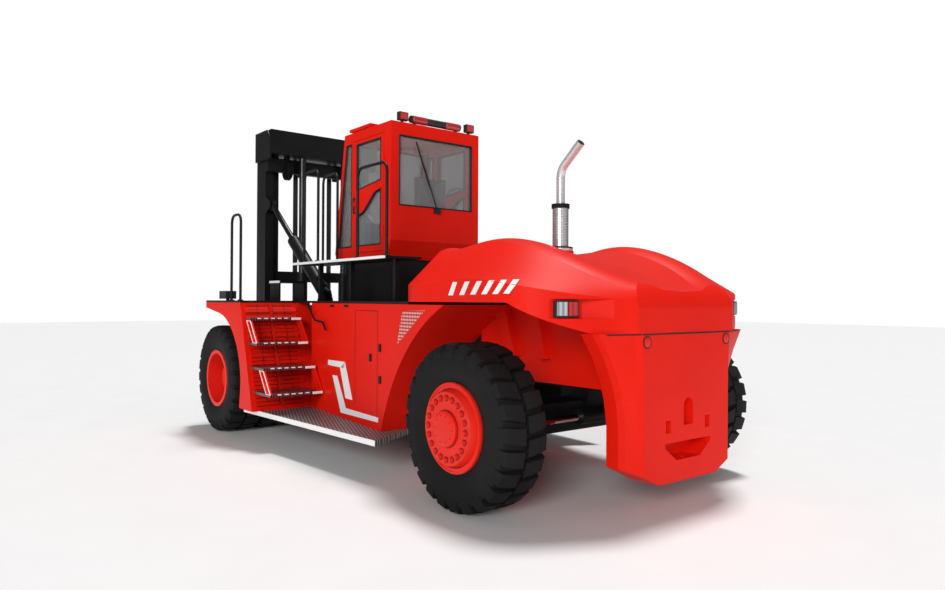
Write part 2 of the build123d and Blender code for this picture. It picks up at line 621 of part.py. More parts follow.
    write("cab_pedestal", block((CAB_REAR + 150, CAB_FRONT_LOW - 140), (-640, 640), (DECK_Z, CAB_LOW)))
    seat = block((CAB_REAR + 200, CAB_REAR + 620), (-240, 240), (floor_z, 3000))
    seat += block((CAB_REAR + 160, CAB_REAR + 680), (-270, 270), (3000, 3120))
    seat += block((CAB_REAR + 100, CAB_REAR + 230), (-260, 260), (3120, 3720))
    write("seat", seat)
    console = block((CAB_FRONT_LOW - 310, CAB_FRONT_LOW - 160), (-330, 330), (floor_z, 3150))
    column = Pos(CAB_FRONT_LOW - 350, 0, 3190) * Rot(0, -35, 0) * Cylinder(30, 310)
    wheel = Cylinder(206, 24) - Cylinder(176, 24) + Box(40, 370, 16) + Box(370, 40, 16)
    write("control_console", console + column + Pos(CAB_FRONT_LOW - 440, 0, 3300) * Rot(0, -35, 0) * wheel)

    bar = rod_y(50, CAB_REAR + 40, (-420, 420), CAB_TOP + 70)
    for y in (-350, 350):
        bar += block((CAB_REAR + 20, CAB_REAR + 60), (y - 20, y + 20), (CAB_TOP, CAB_TOP + 70))
    lamp = block((CAB_REAR - 30, CAB_REAR + 40), (500, 640), (CAB_TOP + 20, CAB_TOP + 130))
    lamp += block((CAB_REAR + 10, CAB_REAR + 30), (550, 590), (CAB_TOP, CAB_TOP + 30))
    write("roof_lamps", bar, *both(lamp))


# Catwalks beside the cab and the handrails
def walkways():
    top = (CATWALK_Z - CATWALK_T, CATWALK_Z)
    plate = block(CATWALK_X, (CAB_HALF + 40, CATWALK_OUT), top)
    for x in (CATWALK_X[0] + 90, CAB_REAR + 410, CATWALK_X[1] - 470):
        plate += block((x, x + 60), (CATWALK_OUT - 260, CATWALK_OUT - 200), (DECK_Z, CATWALK_Z - CATWALK_T))
    step = block((WHEELBASE - 900, WHEELBASE - 540), (FENDER_IN + 30, FENDER_IN + 450), (2240, 2270))
    for y in (FENDER_IN + 30, FENDER_IN + 425):
        step += block((WHEELBASE - 880, WHEELBASE - 560), (y, y + 25), (DECK_Z, 2240))
    write("catwalks", *both(plate), *both(step))

    rails = []
    rail_table = [  # rear, front, Y, foot, top
        (CAB_REAR + 1040, CAB_REAR + 1470, CATWALK_OUT - 30, CATWALK_Z, 3820),
        (CATWALK_X[1] - 480, CATWALK_X[1] - 30, CAB_HALF + 100, CATWALK_Z, 3860),
        (WHEELBASE - 720, WHEELBASE - 370, FENDER_OUT - 100, DECK_Z, 3230),
    ]
    for row in rail_table:
        rails += both(hoop(*row))
    rails.append(hoop(CATWALK_X[0] + 20, CAB_REAR - 60, CATWALK_OUT - 30, CATWALK_Z, 3670))
    write("handrails", *rails)
    lamp_y = FENDER_OUT - 180
    lamp = block((FENDER_TIP - 570, FENDER_TIP - 290), (lamp_y - 80, lamp_y + 80),
                 (DECK_Z + 25, DECK_Z + 145))
    lamp += block((FENDER_TIP - 450, FENDER_TIP - 410), (lamp_y - 20, lamp_y + 20), (DECK_Z, DECK_Z + 30))
    write("front_lamps", *both(lamp))


# Mast, carriage and forks
def mast():
    front = MAST_X + MAST_D
    face = outline([(MAST_X, MAST_HALF - MAST_FLANGE), (MAST_X, MAST_HALF), (front, MAST_HALF),
                    (front, MAST_HALF - MAST_FLANGE), (front - MAST_PLATE, MAST_HALF - MAST_FLANGE),
                    (front - MAST_PLATE, MAST_HALF - MAST_PLATE),
                    (MAST_X + MAST_PLATE, MAST_HALF - MAST_PLATE),
                    (MAST_X + MAST_PLATE, MAST_HALF - MAST_FLANGE)])
    upright = upward(face, (MAST_LOW, OUTER_TOP))
    lug = block((HINGE_X, MAST_X + 1), (MAST_HALF - 140, MAST_HALF - 50), (HINGE_Z - 110, HINGE_Z + 110))
    lug += rod_y(125, HINGE_X, (MAST_HALF - 140, MAST_HALF - 50), HINGE_Z)
    upright += lug - rod_y(HINGE_R + GAP, HINGE_X, (0, FAR), HINGE_Z)
    for y in (TILT_Y - 75, TILT_Y + 50):
        ear = outline([(MAST_X + 1, TILT_EYE[1] - 150), (MAST_X + 1, TILT_EYE[1] + 150),
                       (TILT_EYE[0] - 60, TILT_EYE[1] + 50), (TILT_EYE[0] - 60, TILT_EYE[1] - 50)])
        upright += across(ear, (y, y + 25))
    upright += rod_y(TILT_PIN_R, TILT_EYE[0], (TILT_Y - 75, TILT_Y + 75), TILT_EYE[1])
    outer = upright + other_side(upright)
    for z in ((MAST_LOW, MAST_LOW + 300), (1700, 1900), (4170, OUTER_TOP)):
        outer += block((MAST_X - TIE_T, MAST_X), (-MAST_HALF, MAST_HALF), z)
    seats = [rod_z(LIFT_CYL_R + 30, LIFT_CYL_X, y, (MAST_LOW, MAST_LOW + 60)) for y in (-LIFT_CYL_Y,
                                                                                        LIFT_CYL_Y)]
    for seat, y in zip(seats, (-LIFT_CYL_Y, LIFT_CYL_Y)):
        outer += seat + block((LIFT_CYL_X, MAST_X - 1), (y - 90, y + 90), (MAST_LOW, MAST_LOW + 60))
    write("mast_outer", outer)

    inner_x = (MAST_X + MAST_PLATE + RUN, front - MAST_PLATE - RUN)
    top = OUTER_TOP + 40
    beam_y = (MAST_HALF - MAST_FLANGE - 110, MAST_HALF - MAST_PLATE - RUN)
    web = (MAST_HALF - MAST_FLANGE - 40, MAST_HALF - MAST_FLANGE - 5)
    beam = block(inner_x, web, (MAST_LOW + 40, top))
    beam += block((inner_x[0], inner_x[0] + 40), beam_y, (MAST_LOW + 40, top))
    beam += block((inner_x[1] - 40, inner_x[1]), beam_y, (MAST_LOW + 40, top))
    inner = beam + other_side(beam)
    head_x = (LIFT_CYL_X - LIFT_CYL_R, front - 60)
    inner += block(head_x, (-HEAD_HALF, HEAD_HALF), (top, top + HEAD_H))
    cap = [(head_x[0], top - 90), (head_x[1], top - 90), (head_x[1], top + HEAD_H),
           (head_x[0] + 120, top + HEAD_H),
           (head_x[0], top + HEAD_H - 120)]
    for y in (-HEAD_HALF - HEAD_CAP, HEAD_HALF):
        inner += across(outline(cap), (y, y + HEAD_CAP))
    sheave_z = top - SHEAVE_DROP
    for y in (-CHAIN_Y, CHAIN_Y):
        inner += rod_y(SHEAVE_R, SHEAVE_X, (y - CHAIN_W / 2, y + CHAIN_W / 2), sheave_z)
        inner += rod_y(30, SHEAVE_X, (y - 75, y + 75), sheave_z)
        for cheek in (y - 75, y + 55):
            inner += block((SHEAVE_X - 45, SHEAVE_X + 45), (cheek, cheek + 20), (sheave_z - 60, top))
    for z in ((MAST_LOW + 60, MAST_LOW + 260), (2300, 2480)):
        inner += block((inner_x[0], inner_x[0] + 40), (-beam_y[0], beam_y[0]), z)
    write("mast_inner", inner)

    barrels, rods, chains = [], [], []
    gland = 2450
    for y in (-LIFT_CYL_Y, LIFT_CYL_Y):
        barrel = rod_z(LIFT_CYL_R, LIFT_CYL_X, y, (MAST_LOW + 60, gland))
        barrels.append(barrel - rod_z(LIFT_ROD_R + GAP, LIFT_CYL_X, y, (MAST_LOW + 90, gland)))
        rods.append(rod_z(LIFT_ROD_R, LIFT_CYL_X, y, (MAST_LOW + 100, top)))
    write("lift_barrels", *barrels)
    write("lift_rods", *rods)
    for y in (-CHAIN_Y, CHAIN_Y):
        wide = (y - CHAIN_W / 2, y + CHAIN_W / 2)
        wrap = rod_y(SHEAVE_R + GAP + CHAIN_T, SHEAVE_X, wide, sheave_z) - rod_y(SHEAVE_R + GAP,
                                                                                 SHEAVE_X, wide, sheave_z)
        wrap -= block((SHEAVE_X - 300, SHEAVE_X + 300), wide, (sheave_z - 300, sheave_z))
        for side, foot in ((1, CARRIAGE_LOW + 240), (-1, sheave_z - 150)):
            run = sorted((SHEAVE_X + side * (SHEAVE_R + GAP), SHEAVE_X + side * (SHEAVE_R + GAP + CHAIN_T)))
            wrap += block(run, wide, (foot, sheave_z))
        chains.append(wrap)
    write("lift_chains", *chains)

    plate_x = (front + 60, front + 60 + CARRIAGE_T)
    low, high = CARRIAGE_LOW, CARRIAGE_LOW + CARRIAGE_H
    roller_r = (inner_x[1] - inner_x[0]) / 2 - 40 - GAP
    carriage = block(plate_x, (-CARRIAGE_HALF, CARRIAGE_HALF), (high - 220, high))
    carriage += block(plate_x, (-CARRIAGE_HALF, CARRIAGE_HALF), (low, low + 220))
    for y in (-620, -200, 200, 620):
        carriage += block(plate_x, (y - 60, y + 60), (low, high))
    anchor_x = SHEAVE_X + SHEAVE_R + CHAIN_T + 8
    for y in (-CHAIN_Y, CHAIN_Y):
        carriage += block((anchor_x, plate_x[0] + 1), (y - 45, y + 45), (low + 150, low + 300))
        carriage += block(plate_x, (y - 60, y + 60), (low, high))
    for side in (1, -1):
        guide = block((inner_x[0] + 60, plate_x[0] + 1), sorted((side * 590, side * 650)),
                      (low + 60, high - 60))
        for z in (low + 200, high - 200):
            guide += rod_y(roller_r, sum(inner_x) / 2, sorted((side * 640, side * (web[0] - RUN))), z)
        carriage += guide
    write("fork_carriage", carriage)

    heel = plate_x[1]
    blade = [(heel, FORK_UNDER), (FORK_TIP - 60, FORK_UNDER), (FORK_TIP, FORK_UNDER + 20),
             (FORK_TIP, FORK_UNDER + 35),
             (heel + FORK_T + 1200, FORK_UNDER + FORK_T), (heel + FORK_T, FORK_UNDER + FORK_T),
             (heel + FORK_T, high + 60), (heel, high + 60)]
    forks = [across(outline(blade), (y - FORK_W / 2, y + FORK_W / 2)) for y in (FORK_Y, -FORK_Y)]
    write("fork_left", forks[0])
    write("fork_right", forks[1])


# Tilt cylinders between the deck and the uprights
def tilt():
    run = (TILT_EYE[0] - TILT_BASE[0], TILT_EYE[1] - TILT_BASE[1])
    length = math.hypot(*run)
    lean = math.degrees(math.atan2(run[1], run[0]))
    place = Pos(TILT_BASE[0], TILT_Y, TILT_BASE[1]) * Rot(0, -lean, 0)
    barrel = rod_x(TILT_R, (110, TILT_BARREL), 0, 0) - rod_x(TILT_ROD_R + GAP, (200, TILT_BARREL), 0, 0)
    eye = rod_y(85, 0, (-35, 35), 0) + block((0, 120), (-35, 35), (-70, 70)) - rod_y(TILT_PIN_R + GAP,
                                                                                     0, (-40, 40), 0)
    write("tilt_barrels", *both(place * (barrel + eye)))
    rod = rod_x(TILT_ROD_R, (700, length - 60), 0, 0) + rod_y(TILT_PIN_R + EYE_ROOM + 40, length,
                                                              (-30, 30), 0)
    rod -= rod_y(TILT_PIN_R + EYE_ROOM, length, (-40, 40), 0)
    write("tilt_rods", *both(place * rod))
    anchor = []
    for y in (TILT_Y - 65, TILT_Y + 40):
        ear = outline([(TILT_BASE[0] - 130, DECK_Z), (TILT_BASE[0] + 130, DECK_Z),
                       (TILT_BASE[0] + 60, TILT_BASE[1] + 60), (TILT_BASE[0] - 60, TILT_BASE[1] + 60)])
        anchor.append(across(ear, (y, y + 25)))
    bracket = anchor[0] + anchor[1] + rod_y(TILT_PIN_R, TILT_BASE[0], (TILT_Y - 65, TILT_Y + 65),
                                            TILT_BASE[1])
    write("tilt_brackets", *both(bracket))


os.makedirs("parts", exist_ok=True)
wheels()
steering()
frame()
bodywork()
rear()
cab()
walkways()
mast()
tilt()
print("origin shift", MID_X)
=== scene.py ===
"""Dresses the heavy forklift: paint, rubber, glass and the small trim, seen at the photo's angle."""
import json
import math

import bmesh
import bpy
from mathutils import Matrix, Vector
from mathutils.bvhtree import BVHTree


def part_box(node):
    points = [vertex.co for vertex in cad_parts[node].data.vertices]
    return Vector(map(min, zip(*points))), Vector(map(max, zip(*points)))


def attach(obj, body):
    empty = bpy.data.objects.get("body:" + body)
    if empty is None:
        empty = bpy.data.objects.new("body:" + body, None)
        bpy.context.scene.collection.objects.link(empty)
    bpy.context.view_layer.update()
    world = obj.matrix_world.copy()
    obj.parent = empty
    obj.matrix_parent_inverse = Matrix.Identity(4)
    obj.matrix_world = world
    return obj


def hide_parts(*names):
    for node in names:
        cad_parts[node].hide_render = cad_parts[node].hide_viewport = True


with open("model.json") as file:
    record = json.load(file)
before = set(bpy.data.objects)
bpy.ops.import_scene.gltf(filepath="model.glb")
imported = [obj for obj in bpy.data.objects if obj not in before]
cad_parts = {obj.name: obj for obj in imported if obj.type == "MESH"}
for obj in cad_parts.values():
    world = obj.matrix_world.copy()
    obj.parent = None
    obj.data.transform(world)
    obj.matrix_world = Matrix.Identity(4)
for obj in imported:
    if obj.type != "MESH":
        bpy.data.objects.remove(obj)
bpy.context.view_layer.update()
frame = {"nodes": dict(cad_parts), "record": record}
NODES = frame["nodes"]

# Places and sizes, metres, in the row frame
REAR_AXLE_X = -4.125
WHEEL_R = 0.80
TYRE_W = 0.52
RIM_SEAT = 0.3955
LUGS = 24
LUG_GROOVE = 0.055
DECAL_LIFT = 0.002
HOOD_LIFT = 0.004
CAMERA_PLACE = (-9.559, 5.985, 1.992)
CAMERA_LENS = 27.80
CAMERA_YAW = 38.73
CAMERA_PITCH = -0.43
CAMERA_ROLL = -0.27
SIDES = (("left", 1), ("right", -1))


def from_rear(x):
    """X measured forward from the rear axle, in the row frame."""
    return x + REAR_AXLE_X


# Materials
TONE_SCALE = 1.4          # slow changes of tone over a painted surface


def shader(name):
    mat = bpy.data.materials.new(name)
    mat.use_nodes = True
    return mat, mat.node_tree.nodes, mat.node_tree.links, mat.node_tree.nodes["Principled BSDF"]


def noise_field(nodes, links, scale, detail=4.0):
    coords = nodes.new("ShaderNodeTexCoord")
    noise = nodes.new("ShaderNodeTexNoise")
    noise.inputs["Scale"].default_value = scale
    noise.inputs["Detail"].default_value = detail
    links.new(coords.outputs["Object"], noise.inputs["Vector"])
    return noise.outputs["Fac"]


def ramp_of(nodes, links, factor, low, high, start=0.3, end=0.7):
    ramp = nodes.new("ShaderNodeValToRGB")
    ramp.color_ramp.elements[0].position = start
    ramp.color_ramp.elements[1].position = end
    ramp.color_ramp.elements[0].color = (*low, 1)
    ramp.color_ramp.elements[1].color = (*high, 1)
    links.new(factor, ramp.inputs["Fac"])
    return ramp.outputs["Color"]


def spread(nodes, links, factor, low, high):
    span = nodes.new("ShaderNodeMapRange")
    span.inputs["From Min"].default_value = 0.25
    span.inputs["From Max"].default_value = 0.75
    span.inputs["To Min"].default_value = low
    span.inputs["To Max"].default_value = high
    links.new(factor, span.inputs["Value"])
    return span.outputs["Result"]


def roughen(nodes, links, bsdf, factor, strength, distance):
    bump = nodes.new("ShaderNodeBump")
    bump.inputs["Strength"].default_value = strength
    bump.inputs["Distance"].default_value = distance
    links.new(factor, bump.inputs["Height"])
    links.new(bump.outputs["Normal"], bsdf.inputs["Normal"])


def coating(name, low, high, rough, metallic=0.0, grain=90.0, relief=0.04, shine=0.35):
    """Painted or plain surface: slow tone changes, a fine grain and uneven gloss."""
    mat, nodes, links, bsdf = shader(name)
    slow = noise_field(nodes, links, TONE_SCALE)
    links.new(ramp_of(nodes, links, slow, low, high), bsdf.inputs["Base Color"])
    fine = noise_field(nodes, links, grain, 6.0)
    links.new(spread(nodes, links, fine, rough[0], rough[1]), bsdf.inputs["Roughness"])
    roughen(nodes, links, bsdf, fine, relief, 0.002)
    bsdf.inputs["Metallic"].default_value = metallic
    bsdf.inputs["Specular IOR Level"].default_value = shine
    return mat


def checker_plate(name):
    """Grey tread plate with raised lozenges in two directions."""
    mat, nodes, links, bsdf = shader(name)
    coords = nodes.new("ShaderNodeTexCoord")
    raised = []
    for turn in (45, -45):
        place = nodes.new("ShaderNodeMapping")
        place.inputs["Rotation"].default_value = (0, 0, math.radians(turn))
        place.inputs["Scale"].default_value = (13, 32, 0)
        links.new(coords.outputs["Object"], place.inputs["Vector"])
        dots = nodes.new("ShaderNodeTexVoronoi")
        dots.inputs["Scale"].default_value = 1.0
        dots.inputs["Randomness"].default_value = 0.0
        links.new(place.outputs["Vector"], dots.inputs["Vector"])
        raised.append(ramp_of(nodes, links, dots.outputs["Distance"], (1, 1, 1), (0, 0, 0), 0.22, 0.36))
    both = nodes.new("ShaderNodeMix")
    both.data_type = "RGBA"
    both.blend_type = "LIGHTEN"
    both.inputs["Factor"].default_value = 1.0
    links.new(raised[0], both.inputs[6])
    links.new(raised[1], both.inputs[7])
    height = both.outputs[2]
    links.new(ramp_of(nodes, links, height, (0.075, 0.078, 0.08), (0.56, 0.57, 0.58), 0.0, 1.0),
              bsdf.inputs["Base Color"])
    roughen(nodes, links, bsdf, height, 0.7, 0.004)
    bsdf.inputs["Metallic"].default_value = 0.15
    bsdf.inputs["Roughness"].default_value = 0.45
    return mat


def pane(name, tint):
    """Clear cab glass with faint uneven gloss."""
    mat, nodes, links, bsdf = shader(name)
    slow = noise_field(nodes, links, 2.0)
    paler = tuple(min(1, t * 1.06) for t in tint)
    links.new(ramp_of(nodes, links, slow, tint, paler), bsdf.inputs["Base Color"])
    links.new(spread(nodes, links, slow, 0.015, 0.05), bsdf.inputs["Roughness"])
    bsdf.inputs["Transmission Weight"].default_value = 0.85
    bsdf.inputs["IOR"].default_value = 1.35
    return mat


def lens(name, low, high):
    """Ribbed lamp lens."""
    mat, nodes, links, bsdf = shader(name)
    coords = nodes.new("ShaderNodeTexCoord")
    ribs = nodes.new("ShaderNodeTexWave")
    ribs.inputs["Scale"].default_value = 22.0
    links.new(coords.outputs["Object"], ribs.inputs["Vector"])
    links.new(ramp_of(nodes, links, ribs.outputs["Fac"], low, high, 0.1, 0.9), bsdf.inputs["Base Color"])
    roughen(nodes, links, bsdf, ribs.outputs["Fac"], 0.4, 0.003)
    bsdf.inputs["Roughness"].default_value = 0.12
    bsdf.inputs["Coat Weight"].default_value = 0.6
    return mat


def perforated(name, hole, plate, scale, metallic, edge=(0.26, 0.34)):
    """Sheet with rows of round holes, spaced by scale along each axis, none along an axis of 0."""
    mat, nodes, links, bsdf = shader(name)
    coords = nodes.new("ShaderNodeTexCoord")
    holes = nodes.new("ShaderNodeTexVoronoi")
    holes.inputs["Scale"].default_value = 1.0
    holes.inputs["Randomness"].default_value = 0.0
    place = nodes.new("ShaderNodeMapping")
    place.inputs["Scale"].default_value = scale
    links.new(coords.outputs["Object"], place.inputs["Vector"])
    links.new(place.outputs["Vector"], holes.inputs["Vector"])
    tone = ramp_of(nodes, links, holes.outputs["Distance"], hole, plate, *edge)
    links.new(tone, bsdf.inputs["Base Color"])
    roughen(nodes, links, bsdf, holes.outputs["Distance"], 0.5, 0.003)
    links.new(spread(nodes, links, noise_field(nodes, links, 40.0), 0.22, 0.4), bsdf.inputs["Roughness"])
    bsdf.inputs["Metallic"].default_value = metallic
    return mat


PAINT_RED = ((0.78, 0.010, 0.003), (0.84, 0.013, 0.004))
MATERIALS = {
    "red": coating("red_paint", *PAINT_RED, (0.36, 0.48), relief=0.02, shine=0.12),
    "rim_red": coating("rim_paint", (0.74, 0.016, 0.008), (0.82, 0.022, 0.011), (0.34, 0.46), shine=0.22),
    "black": coating("black_paint", (0.0045, 0.0045, 0.005), (0.009, 0.009, 0.010), (0.40, 0.55), shine=0.22),
    "fork_steel": coating("fork_paint", (0.018, 0.018, 0.019), (0.045, 0.044, 0.043), (0.45, 0.65),
                          metallic=0.3),
    "rod_chrome": coating("chrome", (0.66, 0.67, 0.69), (0.78, 0.79, 0.81), (0.10, 0.18), metallic=1.0,
                          relief=0.0),
    "tread_rubber": coating("tyre_rubber", (0.005, 0.005, 0.0055), (0.012, 0.012, 0.0125), (0.62, 0.82),
                            grain=160, relief=0.12, shine=0.2),
    "white": coating("white_paint", (0.86, 0.86, 0.85), (0.93, 0.93, 0.92), (0.36, 0.5)),
    "checker": checker_plate("tread_plate"),
    "glass": pane("cab_glass", (0.78, 0.79, 0.80)),
    "lamp": coating("lamp_housing", (0.012, 0.012, 0.013), (0.03, 0.03, 0.032), (0.3, 0.45)),
    "trim": coating("black_plastic", (0.008, 0.008, 0.0085), (0.018, 0.018, 0.0185), (0.5, 0.7), grain=220,
                    relief=0.1),
    "gasket": coating("gasket_rubber", (0.010, 0.010, 0.010), (0.020, 0.020, 0.020), (0.55, 0.75)),
    "seat_cloth": coating("seat_cloth", (0.020, 0.021, 0.024), (0.045, 0.046, 0.05), (0.8, 0.95), grain=420,
                          relief=0.3),
    "joint_line": coating("joint_shadow", (0.16, 0.006, 0.004), (0.24, 0.008, 0.006), (0.5, 0.7)),
    # painted shade: a darker copy of the rim red, laid round the foot of each wheel nut and of the dish cap
    "nut_painted_shade": coating("nut_painted_shade", (0.10, 0.006, 0.005), (0.16, 0.008, 0.006), (0.5, 0.7)),
    "clear_lens": lens("clear_lens", (0.26, 0.27, 0.29), (0.55, 0.56, 0.58)),
    "red_lens": lens("red_lens", (0.35, 0.010, 0.010), (0.62, 0.02, 0.02)),
    "guard": perforated("stack_guard", (0.10, 0.10, 0.11), (0.80, 0.81, 0.83), (55, 55, 55), 0.85),
    "hatch": perforated("hatch_mesh", (0.90, 0.58, 0.50), (0.50, 0.010, 0.007), (27, 0, 27), 0.0,
                        (0.26, 0.36)),
    "grating": perforated("step_grating", (0.02, 0.012, 0.012), (0.22, 0.10, 0.10), (26, 26, 0), 0.2,
                          (0.30, 0.42)),
    "dark_rod": coating("oiled_rod", (0.035, 0.035, 0.037), (0.075, 0.075, 0.078), (0.22, 0.36),
                        metallic=0.8),
    "stack_metal": coating("stack_metal", (0.62, 0.63, 0.64), (0.76, 0.77, 0.78), (0.22, 0.34),
                           metallic=0.45),
    # dark collars on the stack, and a dark disc over the pipe's mouth: soot with painted shade for the hollow
    # of the pipe
    "dark": coating("pipe_soot_and_shade", (0.006, 0.006, 0.006), (0.014, 0.013, 0.012), (0.7, 0.9)),
}


# Mesh helpers
class Shape:
    """Collects many small solids into one mesh."""

    def __init__(self):
        self.verts = []
        self.faces = []

    def add(self, verts, faces, place=Matrix()):
        base = len(self.verts)
        self.verts += [tuple(place @ Vector(v)) for v in verts]
        self.faces += [tuple(base + i for i in f) for f in faces]

    def box(self, low, high, place=Matrix()):
        corners = [(x, y, z) for x in (low[0], high[0]) for y in (low[1], high[1]) for z in (low[2], high[2])]
        sides = [(0, 1, 3, 2), (4, 6, 7, 5), (0, 4, 5, 1), (2, 3, 7, 6), (0, 2, 6, 4), (1, 5, 7, 3)]
        self.add(corners, sides, place)

    def lathe(self, profile, place=Matrix(), segments=32, hollow=False):
        """Profile of (radius, height) turned about local Z, capped at both ends unless hollow."""
        rows = len(profile)
        verts = [(r * math.cos(a), r * math.sin(a), h) for a in
                 (2 * math.pi * i / segments for i in range(segments)) for r, h in profile]
        faces = []
        for i in range(segments):
            j = (i + 1) % segments
            for k in range(rows if hollow else rows - 1):
                n = (k + 1) % rows
                faces.append((i * rows + k, j * rows + k, j * rows + n, i * rows + n))
        if not hollow:
            faces.append(tuple(i * rows for i in range(segments)))
            faces.append(tuple(i * rows + rows - 1 for i in range(segments)))
        self.add(verts, faces, place)

    def bar(self, start, end, radius, segments=8):
        """Round bar from start to end."""
        start, end = Vector(start), Vector(end)
        self.lathe([(radius, 0.0), (radius, (end - start).length)], facing(start, end - start), segments)

    def tube(self, points, radius, segments=10):
        for a, b in zip(points, points[1:]):
            self.bar(a, b, radius, segments)
        for at in points[1:-1]:
            self.lathe([(radius * math.cos(t), radius * math.sin(t)) for t in (-1.3, -0.65, 0.0, 0.65, 1.3)],
                       Matrix.Translation(at), segments)

    def slab(self, corners, offset):
        """Thin plate from a loop of corners, thickened by the offset vector."""
        count = len(corners)
        loop = [Vector(c) for c in corners]
        sides = [(i, (i + 1) % count, count + (i + 1) % count, count + i) for i in range(count)]
        self.add(loop + [c + Vector(offset) for c in loop],
                 [tuple(range(count)), tuple(range(2 * count - 1, count - 1, -1))] + sides)

    def done(self, name, material, body, smooth=False, bevel=0.0):
        mesh = bpy.data.meshes.new(name)
        mesh.from_pydata(self.verts, [], self.faces)
        work = bmesh.new()
        work.from_mesh(mesh)
        bmesh.ops.recalc_face_normals(work, faces=work.faces)
        work.to_mesh(mesh)
        work.free()
        obj = bpy.data.objects.new(name, mesh)
        bpy.context.collection.objects.link(obj)
        mesh.materials.append(MATERIALS[material])
        if smooth:
            mesh.polygons.foreach_set("use_smooth", [True] * len(mesh.polygons))
            mesh.set_sharp_from_angle(angle=math.radians(38))
        if bevel:
            edge = obj.modifiers.new("edge", "BEVEL")
            edge.width = bevel
            edge.segments = 2
            edge.limit_method = "ANGLE"
        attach(obj, body)
        return obj


def facing(point, direction):
    """Local Z along direction, at point."""
    turn = Vector((0, 0, 1)).rotation_difference(Vector(direction)).to_matrix().to_4x4()
    return Matrix.Translation(point) @ turn


TREES = {}


def tree_of(node):
    if node not in TREES:
        TREES[node] = BVHTree.FromObject(NODES[node], bpy.context.evaluated_depsgraph_get())
    return TREES[node]


def landed(node, start, direction):
    """Where a ray meets a node's surface, lifted a little off it."""
    hit, normal, _, _ = tree_of(node).ray_cast(Vector(start), Vector(direction))
    if hit is None:
        return None
    if normal.dot(Vector(direction)) > 0:
        normal = -normal
    return hit + normal * DECAL_LIFT


def side_patch(shape, node, corners, side, columns=6, rows=2):
    """Thin skin on a side wall between four (x from the rear axle, z) corners."""
    grid = []
    for j in range(rows + 1):
        for i in range(columns + 1):
            u, v = i / columns, j / rows
            low = Vector(corners[0]).lerp(Vector(corners[1]), u)
            high = Vector(corners[3]).lerp(Vector(corners[2]), u)
            x, z = low.lerp(high, v)
            grid.append(landed(node, (from_rear(x), 4 * side, z), (0, -side, 0)))
    wide = columns + 1
    faces = []
    for j in range(rows):
        for i in range(columns):
            quad = (j * wide + i, j * wide + i + 1, (j + 1) * wide + i + 1, (j + 1) * wide + i)
            if all(grid[k] is not None for k in quad):
                faces.append(quad)
    shape.add([g if g is not None else (0, 0, 0) for g in grid], faces)


def seen_patch(shape, node, corners, side, columns=4, rows=10):
    """Thin skin on a creased wall between four corners, laid on along the viewer's lines of sight."""
    eye = Vector((CAMERA_PLACE[0], CAMERA_PLACE[1] * side, CAMERA_PLACE[2]))
    grid = []
    low_a, low_b, high_b, high_a = (Vector(c) for c in corners)
    for j in range(rows + 1):
        for i in range(columns + 1):
            at = low_a.lerp(low_b, i / columns).lerp(high_a.lerp(high_b, i / columns), j / rows)
            hit, normal, _, _ = tree_of(node).ray_cast(eye, (at - eye).normalized())
            outward = normal if normal.dot(eye - hit) > 0 else -normal
            grid.append(hit + outward * HOOD_LIFT)
    wide = columns + 1
    shape.add(grid, [(j * wide + i, j * wide + i + 1, (j + 1) * wide + i + 1, (j + 1) * wide + i)
                     for j in range(rows) for i in range(columns)])


def rear_patch(shape, node, ys, zs, start, columns, rows):
    """Thin skin on a wall that faces the rear, between two Y places and two heights."""
    for i in range(columns):
        for j in range(rows):
            a, b = (ys[0] + (ys[1] - ys[0]) * k / columns for k in (i, i + 1))
            low, high = (zs[0] + (zs[1] - zs[0]) * k / rows for k in (j, j + 1))
            quad = [landed(node, (from_rear(start), y, z), (1, 0, 0)) for y, z in
                    ((a, low), (b, low), (b, high), (a, high))]
            if all(c is not None for c in quad) and max(c.x for c in quad) - min(c.x for c in quad) < 0.06:
                shape.add(quad, [(0, 1, 2, 3)])


def mirrored(points, side):
    """Points measured from the rear axle on the left, moved to the row frame and to that side."""
    return [(from_rear(x), y * side, z) for x, y, z in points]


def islands(node):
    """Low and high corner of every loose solid in a node."""
    work = bmesh.new()
    work.from_mesh(NODES[node].data)
    bmesh.ops.remove_doubles(work, verts=work.verts, dist=1e-5)
    left = set(work.verts)
    boxes = []
    while left:
        reach = [left.pop()]
        seen = []
        while reach:
            vert = reach.pop()
            seen.append(vert.co.copy())
            for edge in vert.link_edges:
                other = edge.other_vert(vert)
                if other in left:
                    left.remove(other)
                    reach.append(other)
        boxes.append((Vector(min(c[k] for c in seen) for k in range(3)),
                      Vector(max(c[k] for c in seen) for k in range(3))))
    work.free()
    return sorted(boxes, key=lambda pair: tuple(pair[0]) + tuple(pair[1]))


def edge_frames(shape, node, radius):
    """Rubber beads along the long sharp edges of a node's panes."""
    work = bmesh.new()
    work.from_mesh(NODES[node].data)
    bmesh.ops.remove_doubles(work, verts=work.verts, dist=1e-5)
    for edge in work.edges:
        if len(edge.link_faces) == 2 and edge.calc_length() > 0.03 and edge.calc_face_angle() > 0.8:
            shape.bar(edge.verts[0].co, edge.verts[1].co, radius, 6)
    work.free()


def opening_beads(shape, wall, glass, radius):
    """Rubber beads along a wall's sharp edges next to a pane."""
    work = bmesh.new()
    work.from_mesh(NODES[wall].data)
    bmesh.ops.remove_doubles(work, verts=work.verts, dist=1e-5)
    for edge in work.edges:
        if len(edge.link_faces) == 2 and edge.calc_length() > 0.03 and edge.calc_face_angle() > 0.8:
            a, b = (v.co for v in edge.verts)
            if all(tree_of(glass).find_nearest(a.lerp(b, t))[3] < BEAD_REACH for t in (0.1, 0.5, 0.9)):
                shape.bar(a, b, radius, 6)
    work.free()


def side_line(shape, node, points, width, side):
    """Narrow strip along (x, z) points on a side wall."""
    for a, b in zip(points, points[1:]):
        a, b = Vector(a), Vector(b)
        off = (b - a).normalized().orthogonal() * width / 2
        side_patch(shape, node, (a - off, b - off, b + off, a + off), side, columns=8, rows=1)


